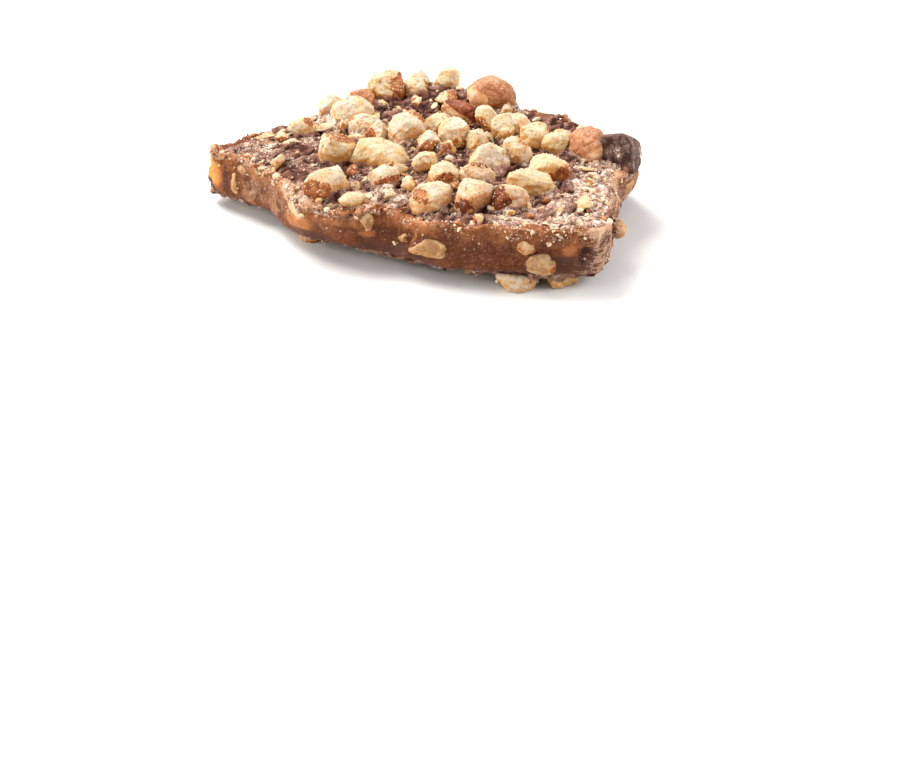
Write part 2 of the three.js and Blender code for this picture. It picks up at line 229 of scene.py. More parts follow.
@dataclass(frozen=True)
class PecanFlesh:
    """Roasted pecan with brown skin, and painted light and shade: pale where it faces up, gold on
    its sides and in patches, and a deep painted shade on its sides, undersides and in its creases.

    The sizes are those of its gold patches, mottling, pores, sandy grains, freckles and pits, and
    of the wrinkles and the ragged edge of its skin.
    """

    name: str
    # pale, gold and deep carry painted light and shade: pale where faces turn up, gold on sides and in
    # random patches, deep as painted shade on sides, undersides and in creases.
    pale: Color
    gold: Color
    deep: Color
    skin_pale: Color = (0.62, 0.31, 0.12)
    skin_light: Color = (0.46, 0.165, 0.045)
    skin_dark: Color = (0.24, 0.062, 0.017)
    fringe: Color = (0.70, 0.36, 0.11)
    speck: Color = (0.48, 0.20, 0.07)
    dust: Color = (0.70, 0.64, 0.55)
    flour: float = 0.22
    relief: float = 0.32 * MM
    patch: float = 2.2 * MM
    mottle: float = 0.9 * MM
    pore: float = 0.26 * MM
    grain: float = 0.33 * MM
    freckle: float = 0.55 * MM
    pit: float = 0.42 * MM
    wrinkle: float = 1.1 * MM
    ragged: float = 0.7 * MM

    def make(self) -> bpy.types.Material:
        """Builds the material."""
        s = Shader(self.name)
        broad = s.noise(self.patch, 3.0)
        middle = s.noise(self.mottle, 3.0, 0.6, 0.5)
        fine = s.noise(self.pore, 4.0, 0.7)
        # Painted light and shade by facing: tops stay pale and sides turn gold; undersides count partly
        # as tops.
        up = s.facing_up()
        up = up.max(up * -1.0 - 0.25)
        gold_patches_and_side_shade = (broad - 0.5) * 2.6 + (middle - 0.5) * 0.8 - up * 0.35
        color = s.mix(gold_patches_and_side_shade.rise(-0.35, 0.2), self.pale, self.gold)
        # Painted shade: the deep colour on sides, undersides and in the creases that the ridge measure
        # finds, over random mottling.
        crease_shade = s.painted("ridge") * -1.0
        shaded = up.rise(0.6, -0.4) * 1.1 + crease_shade.rise(0.0, 0.7) * 0.7 + (middle - 0.5) * 1.2
        color = s.mix(shaded.rise(0.1, 1.0) * 0.9, color, self.deep)
        speck = s.noise(self.freckle, 2.0).rise(0.61, 0.68)
        color = s.mix(speck * 0.55, color, self.speck)
        sand = s.grains(self.grain)
        color = s.mix(sand.rise(0.35, 0.0) * 0.18, color, self.deep)
        color = s.mix(sand.rise(0.6, 1.0) * 0.25, color, self.dust)
        dusty = (up * 0.4 + (fine - 0.5) * 3.2 + (middle - 0.5) * 0.6).rise(0.4, 0.7)
        color = s.mix(dusty * 0.4, color, self.dust)
        skin = s.ramp(s.noise(self.wrinkle, 4.0, 0.65, 0.6),
                      [(0.36, self.skin_dark), (0.56, self.skin_light), (0.8, self.skin_pale)])
        peel = s.painted("skin") + (s.noise(self.ragged, 3.0) - 0.5) * 0.5
        color = s.mix(peel.rise(-0.14, 0.0) * 0.6, color, self.fringe)
        color = s.mix(peel.rise(0.0, 0.03), color, skin)
        color = s.mix(dusty * peel.rise(0.0, 0.05) * self.flour, color, self.dust)
        roughness = 0.5 + fine * 0.35 - peel.rise(0.0, 0.1) * 0.2
        height = middle * 0.25 + fine * 0.4 + sand * 0.2 + s.cells(self.pit) * 0.35
        return s.finish(color, roughness, height, self.relief, {
            "Subsurface Weight": 0.5, "Subsurface Radius": (1.0, 0.55, 0.2),
            "Subsurface Scale": 1.0 * MM, "Specular IOR Level": 0.35})


@dataclass(frozen=True)
class Chocolate:
    """Dull chocolate: grey-brown bloom, painted shade in hollows and painted light on ridges, and nut
    dust and scales of meal where the mesh says so.

    The sizes are those of its mottling, pores and scales of meal.
    """

    name: str
    dark: Color = (0.058, 0.017, 0.009)
    mid: Color = (0.142, 0.049, 0.028)
    bloom: Color = (0.36, 0.195, 0.143)
    dust: Color = (0.80, 0.62, 0.51)
    flour: Color = (0.90, 0.80, 0.70)
    crumb: Color = (0.52, 0.27, 0.15)
    relief: float = 0.3 * MM
    mottle: float = 1.6 * MM
    pore: float = 0.24 * MM
    scale: float = 0.5 * MM

    def make(self) -> bpy.types.Material:
        """Builds the material."""
        s = Shader(self.name)
        middle = s.noise(self.mottle, 4.0, 0.55, 0.4)
        fine = s.noise(self.pore, 4.0, 0.75)
        ridge = s.painted("ridge")
        drift = s.painted("dust")
        # Painted shade and light: darker in the hollows that the ridge measure finds and lighter on its
        # ridges, over random mottling.
        color = s.mix((middle + ridge * 0.3).rise(0.4, 0.62), self.dark, self.mid)
        # Bloom film, with painted light added on the ridges.
        film = 0.1 + drift * 0.55 + (middle - 0.5) * 1.7 + ridge * 0.3 + (fine - 0.5) * 0.4
        color = s.mix(film.rise(0.05, 0.65) * 0.85, color, self.bloom)
        dusty = drift * 0.75 + s.facing_up() * 0.1 + (fine - 0.5) * 3.2 + (middle - 0.5) * 1.0
        # Painted shade: the hollows are kept free of dust so that they stay dark.
        dusty = dusty - (ridge * -1.0).rise(0.15, 0.8) * 0.8
        color = s.mix(dusty.rise(0.6, 0.8) * 0.8, color, self.dust)
        grain = s.grains(self.scale)
        scales = s.ramp(grain, [(0.12, self.mid), (0.3, self.crumb), (0.5, self.bloom),
                                (0.66, self.dust), (0.85, self.flour)])
        thick = drift + (middle - 0.5) * 1.0 + (fine - 0.5) * 0.9
        color = s.mix(thick.rise(0.62, 0.8) * 0.75, color, scales)
        roughness = 0.46 + dusty.rise(0.3, 0.8) * 0.3 + fine * 0.15
        height = middle * 0.4 + fine * 0.4 + thick.rise(0.5, 0.8) * grain * 0.4
        return s.finish(color, roughness, height, self.relief, {
            "Specular IOR Level": 0.22, "Subsurface Weight": 0.05,
            "Subsurface Radius": (1.0, 0.4, 0.25), "Subsurface Scale": 0.6 * MM})


@dataclass(frozen=True)
class Toffee:
    """Butter toffee: brown and finely grained, with a painted amber glow of light at thin edges,
    smeared with chocolate below, and darkened with painted shade in a hollow.

    The sizes are those of its brown patches, mottling, pores, upright streaks, sandy grains, level
    layers of dust and broken flakes.
    """

    name: str
    tan: Color = (0.212, 0.066, 0.0215)
    brown: Color = (0.130, 0.036, 0.0115)
    # rim and amber also colour the painted glow of light through thin edges.
    rim: Color = (0.50, 0.197, 0.066)
    amber: Color = (0.80, 0.275, 0.045)
    film: Color = (0.60, 0.39, 0.26)
    smear: Color = (0.115, 0.050, 0.034)
    # Dark marks: chocolate at the tip's foot, and painted shade in the hollow at the right front
    # corner.
    stain_and_hollow_shade: Color = (0.060, 0.022, 0.014)
    cream: Color = (0.78, 0.57, 0.39)
    relief: float = 0.3 * MM
    patch: float = 6.0 * MM
    mottle: float = 1.6 * MM
    pore: float = 0.24 * MM
    streak: float = 0.9 * MM
    grain: float = 0.3 * MM
    layer: float = 0.5 * MM
    flake: float = 0.55 * MM

    def make(self) -> bpy.types.Material:
        """Builds the material."""
        s = Shader(self.name)
        broad = s.noise(self.patch, 3.0)
        middle = s.noise(self.mottle, 4.0, 0.6, 0.5)
        fine = s.noise(self.pore, 4.0, 0.75)
        color = s.mix((broad * 0.6 + middle * 0.4).rise(0.42, 0.6), self.brown, self.tan)
        streaks = s.noise(self.streak, 3.0, 0.6, 0.3, (0.6, 0.6, 0.2))
        color = s.mix(streaks.rise(0.5, 0.7) * 0.12, color, self.rim)
        # Painted light: an amber glow of light through thin edges, ridges and the upper wall.
        glow = s.painted("glow") + (middle - 0.5) * 0.6
        color = s.mix(glow.rise(0.1, 0.7) * 0.8, color, self.rim)
        color = s.mix(glow.rise(0.6, 1.3), color, self.amber)
        pale = s.painted("pale") + (middle - 0.5) * 1.0 + (fine - 0.5) * 0.9
        color = s.mix(pale.rise(0.25, 1.0) * 0.85, color, self.cream)
        sand = s.grains(self.grain)
        color = s.mix(sand.rise(0.6, 1.0) * 0.16, color, self.film)
        color = s.mix(sand.rise(0.35, 0.0) * 0.35, color, self.brown)
        smear = s.painted("smear") + (middle - 0.5) * 1.1
        color = s.mix(smear.rise(0.3, 0.75) * 0.85, color, self.smear)
        # Chocolate mark and painted shade: near-black in the hollow at the right front corner,
        # chocolate at the tip's foot.
        stain_and_hollow_shade = s.painted("stain_and_hollow_shade") + (middle - 0.5) * 1.2 + (fine - 0.5) * 0.6
        color = s.mix(stain_and_hollow_shade.rise(0.45, 0.7) * 0.9, color, self.stain_and_hollow_shade)
        layers = s.noise(self.layer, 3.0, 0.6, 0.0, (0.45, 0.45, 1.6))
        dusty = s.painted("dust") * 0.8 + (fine - 0.5) * 1.7 + (middle - 0.5) * 0.8
        dusty = dusty + (layers - 0.5) * 1.8
        color = s.mix(dusty.rise(0.45, 0.8) * 0.75, color, self.film)
        flakes = s.grains(self.flake)
        chips = s.ramp(flakes, [(0.1, self.brown), (0.35, self.tan), (0.55, self.rim),
                                (0.75, self.film), (0.95, self.cream)])
        crumbly = s.painted("crumble") + (middle - 0.5) * 0.9 + (fine - 0.5) * 0.8
        color = s.mix(crumbly.rise(0.45, 0.7) * 0.6, color, chips)
        roughness = 0.4 + fine * 0.3 + dusty.rise(0.3, 0.9) * 0.25
        height = middle * 0.35 + fine * 0.35 + sand * 0.12
        height = height + crumbly.rise(0.4, 0.7) * flakes * 0.4
        return s.finish(color, roughness, height, self.relief, {
            "Subsurface Weight": 0.3, "Subsurface Radius": (1.0, 0.40, 0.13),
            "Subsurface Scale": 0.8 * MM, "Specular IOR Level": 0.24})


@dataclass(frozen=True)
class Crumb:
    """Loose crumbs of one kind, from light to dark."""

    name: str
    light: Color
    dark: Color
    roughness: float = 0.65
    relief: float = 0.1 * MM
    patch: float = 1.7 * MM
    pore: float = 0.3 * MM

    def make(self) -> bpy.types.Material:
        """Builds the material."""
        s = Shader(self.name)
        patch = s.noise(self.patch, 2.0)
        fine = s.noise(self.pore, 3.0)
        color = s.mix((patch * 0.7 + fine * 0.3).rise(0.4, 0.62), self.light, self.dark)
        return s.finish(color, self.roughness + fine * 0.2, fine, self.relief, {
            "Subsurface Weight": 0.1, "Subsurface Radius": (1.0, 0.5, 0.25),
            "Subsurface Scale": 0.5 * MM})


@dataclass(frozen=True)
class PaleFloor:
    """Plain pale paper under the shard."""

    name: str = "pale_paper"
    color: Color = (0.86, 0.86, 0.855)
    shade: float = 0.985
    relief: float = 0.01 * MM
    grain: float = 1.2 * MM

    def make(self) -> bpy.types.Material:
        """Builds the material."""
        s = Shader(self.name)
        grain = s.noise(self.grain, 2.0)
        shaded = tuple(self.shade * value for value in self.color)
        return s.finish(s.mix(grain, self.color, shaded), 0.7 + grain * 0.1, grain, self.relief, {})


class Tone(Enum):
    """What a pecan piece mostly shows."""

    CREAM = "pecan_cream"
    YELLOW = "pecan_yellow"
    TAN = "pecan_tan"
    ROASTED = "pecan_roasted"
    BURIED = "pecan_in_toffee"
    COATED = "pecan_in_chocolate"


class Palette:
    """Every finish of the shard, made once."""

    def __init__(self) -> None:
        """Builds the materials."""
        finishes = {
            # Each flesh tone gives pale, gold and deep: pale for faces turned up, gold for sides and
            # patches, deep for painted shade.
            Tone.CREAM: PecanFlesh(
                Tone.CREAM.value, (0.71, 0.595, 0.45), (0.75, 0.52, 0.28), (0.66, 0.31, 0.09)),
            Tone.YELLOW: PecanFlesh(
                Tone.YELLOW.value, (0.71, 0.575, 0.385), (0.75, 0.495, 0.22), (0.66, 0.32, 0.072)),
            Tone.TAN: PecanFlesh(
                Tone.TAN.value, (0.70, 0.53, 0.38), (0.72, 0.43, 0.21), (0.56, 0.24, 0.09),
                skin_pale=(0.46, 0.18, 0.075), skin_light=(0.30, 0.080, 0.024),
                skin_dark=(0.125, 0.027, 0.010)),
            Tone.ROASTED: PecanFlesh(
                Tone.ROASTED.value, (0.80, 0.57, 0.38), (0.72, 0.40, 0.20), (0.56, 0.24, 0.09),
                skin_pale=(0.62, 0.34, 0.19), skin_light=(0.47, 0.20, 0.085),
                skin_dark=(0.33, 0.115, 0.042), flour=0.5, relief=0.16 * MM),
            Tone.BURIED: PecanFlesh(
                Tone.BURIED.value, (0.60, 0.40, 0.22), (0.50, 0.29, 0.13), (0.38, 0.18, 0.07),
                dust=(0.64, 0.50, 0.34)),
            Tone.COATED: Chocolate(
                Tone.COATED.value, dark=(0.066, 0.029, 0.022), mid=(0.112, 0.055, 0.043),
                bloom=(0.21, 0.130, 0.108)),
        }
        self.tones = {tone: finish.make() for tone, finish in finishes.items()}
        self.toffee = Toffee("butter_toffee").make()
        self.chocolate = Chocolate("dusty_chocolate").make()
        self.cream = Crumb("cream_crumb", (0.77, 0.64, 0.47), (0.68, 0.44, 0.21)).make()
        self.skin = Crumb("skin_crumb", (0.52, 0.23, 0.09), (0.23, 0.07, 0.025)).make()
        self.dark = Crumb("chocolate_crumb", (0.22, 0.105, 0.07), (0.085, 0.030, 0.016)).make()
        self.meal = Crumb("nut_meal", (0.80, 0.66, 0.55), (0.50, 0.33, 0.235), 0.75).make()


# ---------------------------------------------------------------- hand work on meshes


def put(name: str, data: bpy.types.ID) -> bpy.types.Object:
    """Puts a new object with some data into the scene."""
    thing = bpy.data.objects.new(name, data)
    bpy.context.scene.collection.objects.link(thing)
    return thing


class Bench:
    """The hand work on meshes: one piece is held, worked on and put down again."""

    @staticmethod
    def hold(piece: bpy.types.Object) -> None:
        """Selects one piece and nothing else."""
        bpy.ops.object.select_all(action="DESELECT")
        piece.select_set(True)
        bpy.context.view_layer.objects.active = piece

    @classmethod
    def copy_of(cls, node: str, name: str) -> bpy.types.Object:
        """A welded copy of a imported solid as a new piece.

        Args:
            node: the solid's name.
            name: the new piece's name.

        Returns:
            The new piece, with its place in its mesh.
        """
        mesh = frame["nodes"][node].data.copy()
        mesh.materials.clear()
        piece = put(name, mesh)
        cls.edit(piece, lambda: bpy.ops.mesh.remove_doubles(threshold=0.001 * MM))
        return piece

    @classmethod
    def edit(cls, piece: bpy.types.Object, work: Callable[[], object]) -> None:
        """Does some work in edit mode with the whole piece selected."""
        cls.hold(piece)
        bpy.ops.object.mode_set(mode="EDIT")
        bpy.ops.mesh.select_all(action="SELECT")
        work()
        bpy.ops.object.mode_set(mode="OBJECT")

    @classmethod
    def modify(cls, piece: bpy.types.Object, kind: str, **settings: object) -> None:
        """Adds one modifier with its settings and applies it."""
        cls.hold(piece)
        modifier = piece.modifiers.new(kind.title(), kind)
        for key, value in settings.items():
            setattr(modifier, key, value)
        bpy.ops.object.modifier_apply(modifier=modifier.name)

    @classmethod
    def remesh(cls, piece: bpy.types.Object, voxel: float, smoothing: int) -> None:
        """Rebuilds a piece from even small faces and rounds off its facets."""
        cls.modify(piece, "REMESH", mode="VOXEL", voxel_size=voxel)
        cls.modify(piece, "SMOOTH", factor=0.5, iterations=smoothing)

    @classmethod
    def dress(cls, piece: bpy.types.Object, material: bpy.types.Material, slot: str,
              *nodes: str, crisp: bool = False) -> bpy.types.Object:
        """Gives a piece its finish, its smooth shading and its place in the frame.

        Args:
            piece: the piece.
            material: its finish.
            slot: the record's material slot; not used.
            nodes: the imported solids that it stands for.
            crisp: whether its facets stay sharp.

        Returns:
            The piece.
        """
        piece.data.materials.clear()
        piece.data.materials.append(material)
        cls.hold(piece)
        if crisp:
            bpy.ops.object.shade_flat()
        else:
            bpy.ops.object.shade_smooth()
        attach(piece, "root")
        if nodes:
            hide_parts(*nodes)
        return piece


def rows(items: bpy.types.bpy_prop_collection, name: str, width: int,
         kind: type = np.float32) -> np.ndarray:
    """One value of the given width for each of a mesh's items, as rows of an array."""
    values = np.empty(len(items) * width, kind)
    items.foreach_get(name, values)
    return values.reshape(-1, width)


def points_of(piece: bpy.types.Object) -> np.ndarray:
    """The places of a piece's points."""
    return rows(piece.data.vertices, "co", 3).astype(float)


def move_points(piece: bpy.types.Object, places: np.ndarray) -> None:
    """Puts a piece's points at new places."""
    piece.data.vertices.foreach_set("co", places.astype(np.float32).ravel())
    piece.data.update()


def normals_of(piece: bpy.types.Object) -> np.ndarray:
    """The normals at a piece's points."""
    return rows(piece.data.vertices, "normal", 3).astype(float)


def paint(piece: bpy.types.Object, name: str, values: np.ndarray) -> None:
    """Stores one number for each point under a name that the finishes read."""
    attribute = piece.data.attributes.new(name, "FLOAT", "POINT")
    attribute.data.foreach_set("value", values.astype(np.float32))


def softened(piece: bpy.types.Object, places: np.ndarray, rounds: int) -> np.ndarray:
    """The places after each has moved to the mean of its neighbours a number of times."""
    first, second = rows(piece.data.edges, "vertices", 2, np.int32).T
    count = len(places)
    shared = np.maximum(np.bincount(first, minlength=count) + np.bincount(second, minlength=count), 1)
    for _ in range(rounds):
        sums = [np.bincount(first, places[second, axis], count)
                + np.bincount(second, places[first, axis], count) for axis in range(3)]
        places = 0.5 * places + 0.5 * np.stack(sums, 1) / shared[:, None]
    return places


def ridges(piece: bpy.types.Object, rounds: int, height: float) -> np.ndarray:
    """How far each point stands out of the softened surface, as a share of a height."""
    places = points_of(piece)
    lift = ((places - softened(piece, places, rounds)) * normals_of(piece)).sum(1)
    return np.clip(lift / height, -1, 1)


def shift_by(seed: float) -> Vector:
    """How far a seed moves a pattern, in waves."""
    return Vector((seed, 2.7 * seed, -1.3 * seed))


def clouds(places: np.ndarray, size: float, seed: float = 0.0) -> np.ndarray:
    """Smooth noise from -1 to 1 at each place, with waves of the given size."""
    shift = shift_by(seed)
    return np.array([noise.noise(Vector(place) / size + shift) for place in places])


@dataclass(frozen=True)
class Wave:
    """Cloudy noise of one size: its weight, its size in millimetres and its seed."""

    weight: float
    size: float
    seed: float


def waves_at(places: np.ndarray, waves: Sequence[Wave]) -> np.ndarray:
    """The sum of some waves at each place."""
    return sum(wave.weight * clouds(places, wave.size * MM, wave.seed) for wave in waves)


def rubble(places: np.ndarray, size: float, seed: float = 0.0) -> np.ndarray:
    """Rounded lumps of the given size with sharp clefts between them, from about 0.5 down to -0.5."""
    shift = shift_by(seed)
    return np.array([0.5 - noise.voronoi(Vector(place) / size + shift)[0][0] for place in places])


def plates(places: np.ndarray, size: float, seed: float = 0.0) -> np.ndarray:
    """Broken flakes of the given size, each at a level of its own from -0.5 to 0.5 and tilted."""
    shift = shift_by(seed)
    levels = np.empty(len(places))
    for index, place in enumerate(places):
        spot = Vector(place) / size + shift
        middle = noise.voronoi(spot)[1][0]
        tilt = noise.cell_vector(middle * 7.3)
        levels[index] = noise.cell(middle * 5.1 + shift) - 0.5 + 0.8 * (spot - middle).dot(tilt)
    return levels


def folds(places: np.ndarray, size: float, width: float, seed: float = 0.0) -> np.ndarray:
    """One along the winding lines of narrow folds, and nothing beside them."""
    return step(np.abs(clouds(places, size, seed)), width, 0.0)


def step(values: np.ndarray, low: float, high: float) -> np.ndarray:
    """A smooth step from 0 at low to 1 at high, or the other way round where low is higher."""
    share = np.clip((values - low) / (high - low), 0, 1)
    return share * share * (3 - 2 * share)


def keep_above(piece: bpy.types.Object, level: float) -> None:
    """Flattens what hangs below a level."""
    places = points_of(piece)
    places[:, 2] = np.maximum(places[:, 2], level)
    move_points(piece, places)


def shove(piece: bpy.types.Object, amount: np.ndarray) -> None:
    """Moves each point along its normal by an amount in metres."""
    move_points(piece, points_of(piece) + normals_of(piece) * amount[:, None])


def tree_of(pieces: Sequence[bpy.types.Object]) -> BVHTree:
    """One search tree over the faces of several pieces."""
    corners: list[Vector] = []
    faces: list[tuple[int, ...]] = []
    for piece in pieces:
        start = len(corners)
        corners.extend(vertex.co.copy() for vertex in piece.data.vertices)
        faces.extend(tuple(start + v for v in face.vertices) for face in piece.data.polygons)
    return BVHTree.FromPolygons(corners, faces)


@dataclass(frozen=True)
class Blot:
    """A patch of the shard: its middle and half sizes in millimetres, and how strong it is."""

    at: tuple[float, float, float]
    half: tuple[float, float, float]
    strength: float = 1.0


def within(places: np.ndarray, blots: Sequence[Blot], rim: float = 0.6) -> np.ndarray:
    """One inside any of the blots, falling to nothing over the given share of their size."""
    mask = np.zeros(len(places))
    for blot in blots:
        away = np.linalg.norm((places / MM - np.array(blot.at)) / np.array(blot.half), axis=1)
        mask = np.maximum(mask, blot.strength * np.clip((1 + rim - away) / rim, 0, 1))
    return mask


# ---------------------------------------------------------------- the broken side


@dataclass(frozen=True)
class Place:
    """Where a small pecan bit lies, in metres, with its size and its turn in degrees."""

    at: tuple[float, float, float]
    size: tuple[float, float, float]
    turn: float


# Middle, and width, depth and height, in millimetres, of each pecan cut through at the broken side.
SIDE_PECANS = (
    ((-30.8, -0.9, 5.8), (2.0, 2.4, 4.0)),
    ((-29.3, -1.3, 8.1), (1.8, 2.4, 2.2)),
    ((-9.8, -20.2, 8.6), (3.4, 3.0, 3.6)),
    ((1.6, -24.6, 6.2), (6.8, 2.8, 3.4)),
    ((-2.1, -22.4, 6.9), (2.6, 2.4, 1.6)),
    ((17.9, -28.6, 8.2), (2.8, 2.6, 2.4)),
    ((19.6, -28.8, 5.3), (5.0, 3.2, 3.8)),
    ((32.2, -18.6, 6.2), (2.6, 4.6, 3.4)),
    ((34.0, -6.0, 7.6), (2.6, 3.4, 2.6)),
    ((29.6, 10.8, 6.0), (4.4, 4.0, 3.2)),
    ((13.0, 22.3, 6.6), (4.2, 3.6, 3.6)),
    ((-8.4, 24.9, 5.6), (3.8, 3.4, 3.0)),
    ((-17.6, 17.8, 7.4), (4.6, 4.2, 2.8)),
    ((-28.8, 9.9, 6.0), (3.6, 3.2, 3.4)),
)


@dataclass
class BrokenSide:
    """Where the side of the shard is, and where its rims lie bare of chocolate."""

    reach: float = 5.0 * MM
    inside: float = 1.6 * MM
    bare: Sequence[Blot] = (
        Blot((-30.0, -2.0, 10.0), (8.0, 7.0, 9.0)),
        Blot((-14.0, -20.0, 10.0), (13.0, 6.0, 9.0)),
        Blot((-21.0, -13.0, 10.0), (5.0, 5.0, 9.0), 1.6),
        Blot((10.0, -28.0, 10.0), (14.0, 3.0, 9.0)),
    )

    def __post_init__(self) -> None:
        """Gathers the side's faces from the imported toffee."""
        mesh = frame["nodes"]["toffee"].data
        faces = [tuple(face.vertices) for face in mesh.polygons if abs(face.normal.z) < 0.8]
        self.tree = BVHTree.FromPolygons([vertex.co for vertex in mesh.vertices], faces)
        self.whole = tree_of([frame["nodes"]["toffee"]])
        low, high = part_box("toffee")
        self.low, self.high = low.z, high.z

    def around(self, places: np.ndarray, level: float) -> tuple[np.ndarray, np.ndarray]:
        """Finds how deep each place lies inside the side, and the way in.

        Args:
            places: the places.
            level: the height at which the side is looked up.

        Returns:
            Depths in metres, no more than the reach, and level unit vectors that point inwards.
        """
        depth = np.full(len(places), self.reach)
        inward = np.zeros((len(places), 3))
        for index, (x, y, _) in enumerate(places):
            spot, normal, _, distance = self.tree.find_nearest(Vector((x, y, level)), self.reach)
            if spot is not None:
                way = -Vector((normal.x, normal.y, 0)).normalized()
                depth[index] = distance * (1 if (Vector((x, y, level)) - spot).dot(way) > 0 else -1)
                inward[index] = way
        return depth, inward

    def crest(self, places: np.ndarray, inward: np.ndarray) -> np.ndarray:
        """Finds how high the slab's upper face lies just inside each place.

        Args:
            places: the places.
            inward: level vectors that point into the slab, or nothing where the rim is far off.

        Returns:
            Heights in metres.
        """
        heights = np.full(len(places), self.high)
        for index, (x, y, _) in enumerate(places + self.inside * inward):
            hit = self.whole.ray_cast(Vector((x, y, 2 * self.high)), Vector((0, 0, -1)))[0]
            if hit is not None:
                heights[index] = hit.z
        return heights

    @staticmethod
    def pecans(slab: bpy.types.Object) -> list[Place]:
        """Where pecan bits show in the carved side, each with its middle just inside it."""
        tree = tree_of([slab])
        places = []
        for at, size in SIDE_PECANS:
            spot, normal, _, _ = tree.find_nearest(Vector(at) * MM)
            turn = math.degrees(math.atan2(normal.y, normal.x)) + 90
            depth = min(size[:2])
            seat = spot - Vector((normal.x, normal.y, 0)) * (0.12 * depth * MM)
            places.append(Place((seat.x, seat.y, at[2] * MM),
                                (max(size[:2]) * MM, depth * MM, size[2] * MM), turn))
        return places

    def bareness(self, places: np.ndarray) -> np.ndarray:
        """How bare of chocolate the rim is, from 0 to 1."""
        rim = places * np.array((1, 1, 0)) + np.array((0, 0, 10 * MM))
        return np.clip(0.25 + 0.9 * clouds(rim, 5 * MM, 2.0) + 0.5 * within(rim, self.bare), 0, 1)


@dataclass
class Drifts:
    """Where nut dust has settled on the chocolate."""

    thick: Sequence[Blot] = (
        Blot((22.0, -22.5, 11.0), (8.5, 5.0, 9.0)),
        Blot((29.5, -13.0, 11.0), (3.5, 8.0, 9.0)),
        Blot((-7.0, -14.5, 11.0), (8.0, 3.5, 9.0), 0.8),
        Blot((-19.0, -13.5, 11.0), (4.5, 3.5, 9.0)),
        Blot((-28.0, 1.0, 11.0), (5.0, 4.0, 9.0), 0.8),
        Blot((-10.0, 13.0, 11.0), (6.0, 5.0, 9.0)),
    )
    clean: Sequence[Blot] = (
        Blot((-1.0, 17.5, 11.0), (9.0, 5.0, 9.0)),
        Blot((-21.0, 3.0, 11.0), (3.0, 2.0, 9.0), 0.6),
        Blot((-17.0, -6.5, 11.0), (4.0, 2.5, 9.0), 0.5),
        Blot((10.0, -18.0, 11.0), (8.0, 3.0, 9.0)),
        Blot((22.0, 10.5, 11.0), (6.5, 4.0, 9.0), 0.8),
        Blot((33.0, 0.0, 11.0), (4.0, 4.0, 9.0)),
    )

    def depth(self, places: np.ndarray) -> np.ndarray:
        """Thickness of the dust at each place, from 0 to 1."""
        drift = 0.36 + 0.8 * clouds(places, 3.6 * MM, 7.0) + 0.5 * clouds(places, 1.5 * MM, 5.0)
        drift += 0.5 * within(places, self.thick) - 0.5 * within(places, self.clean)
        return np.clip(drift, 0, 1)


# ---------------------------------------------------------------- toffee


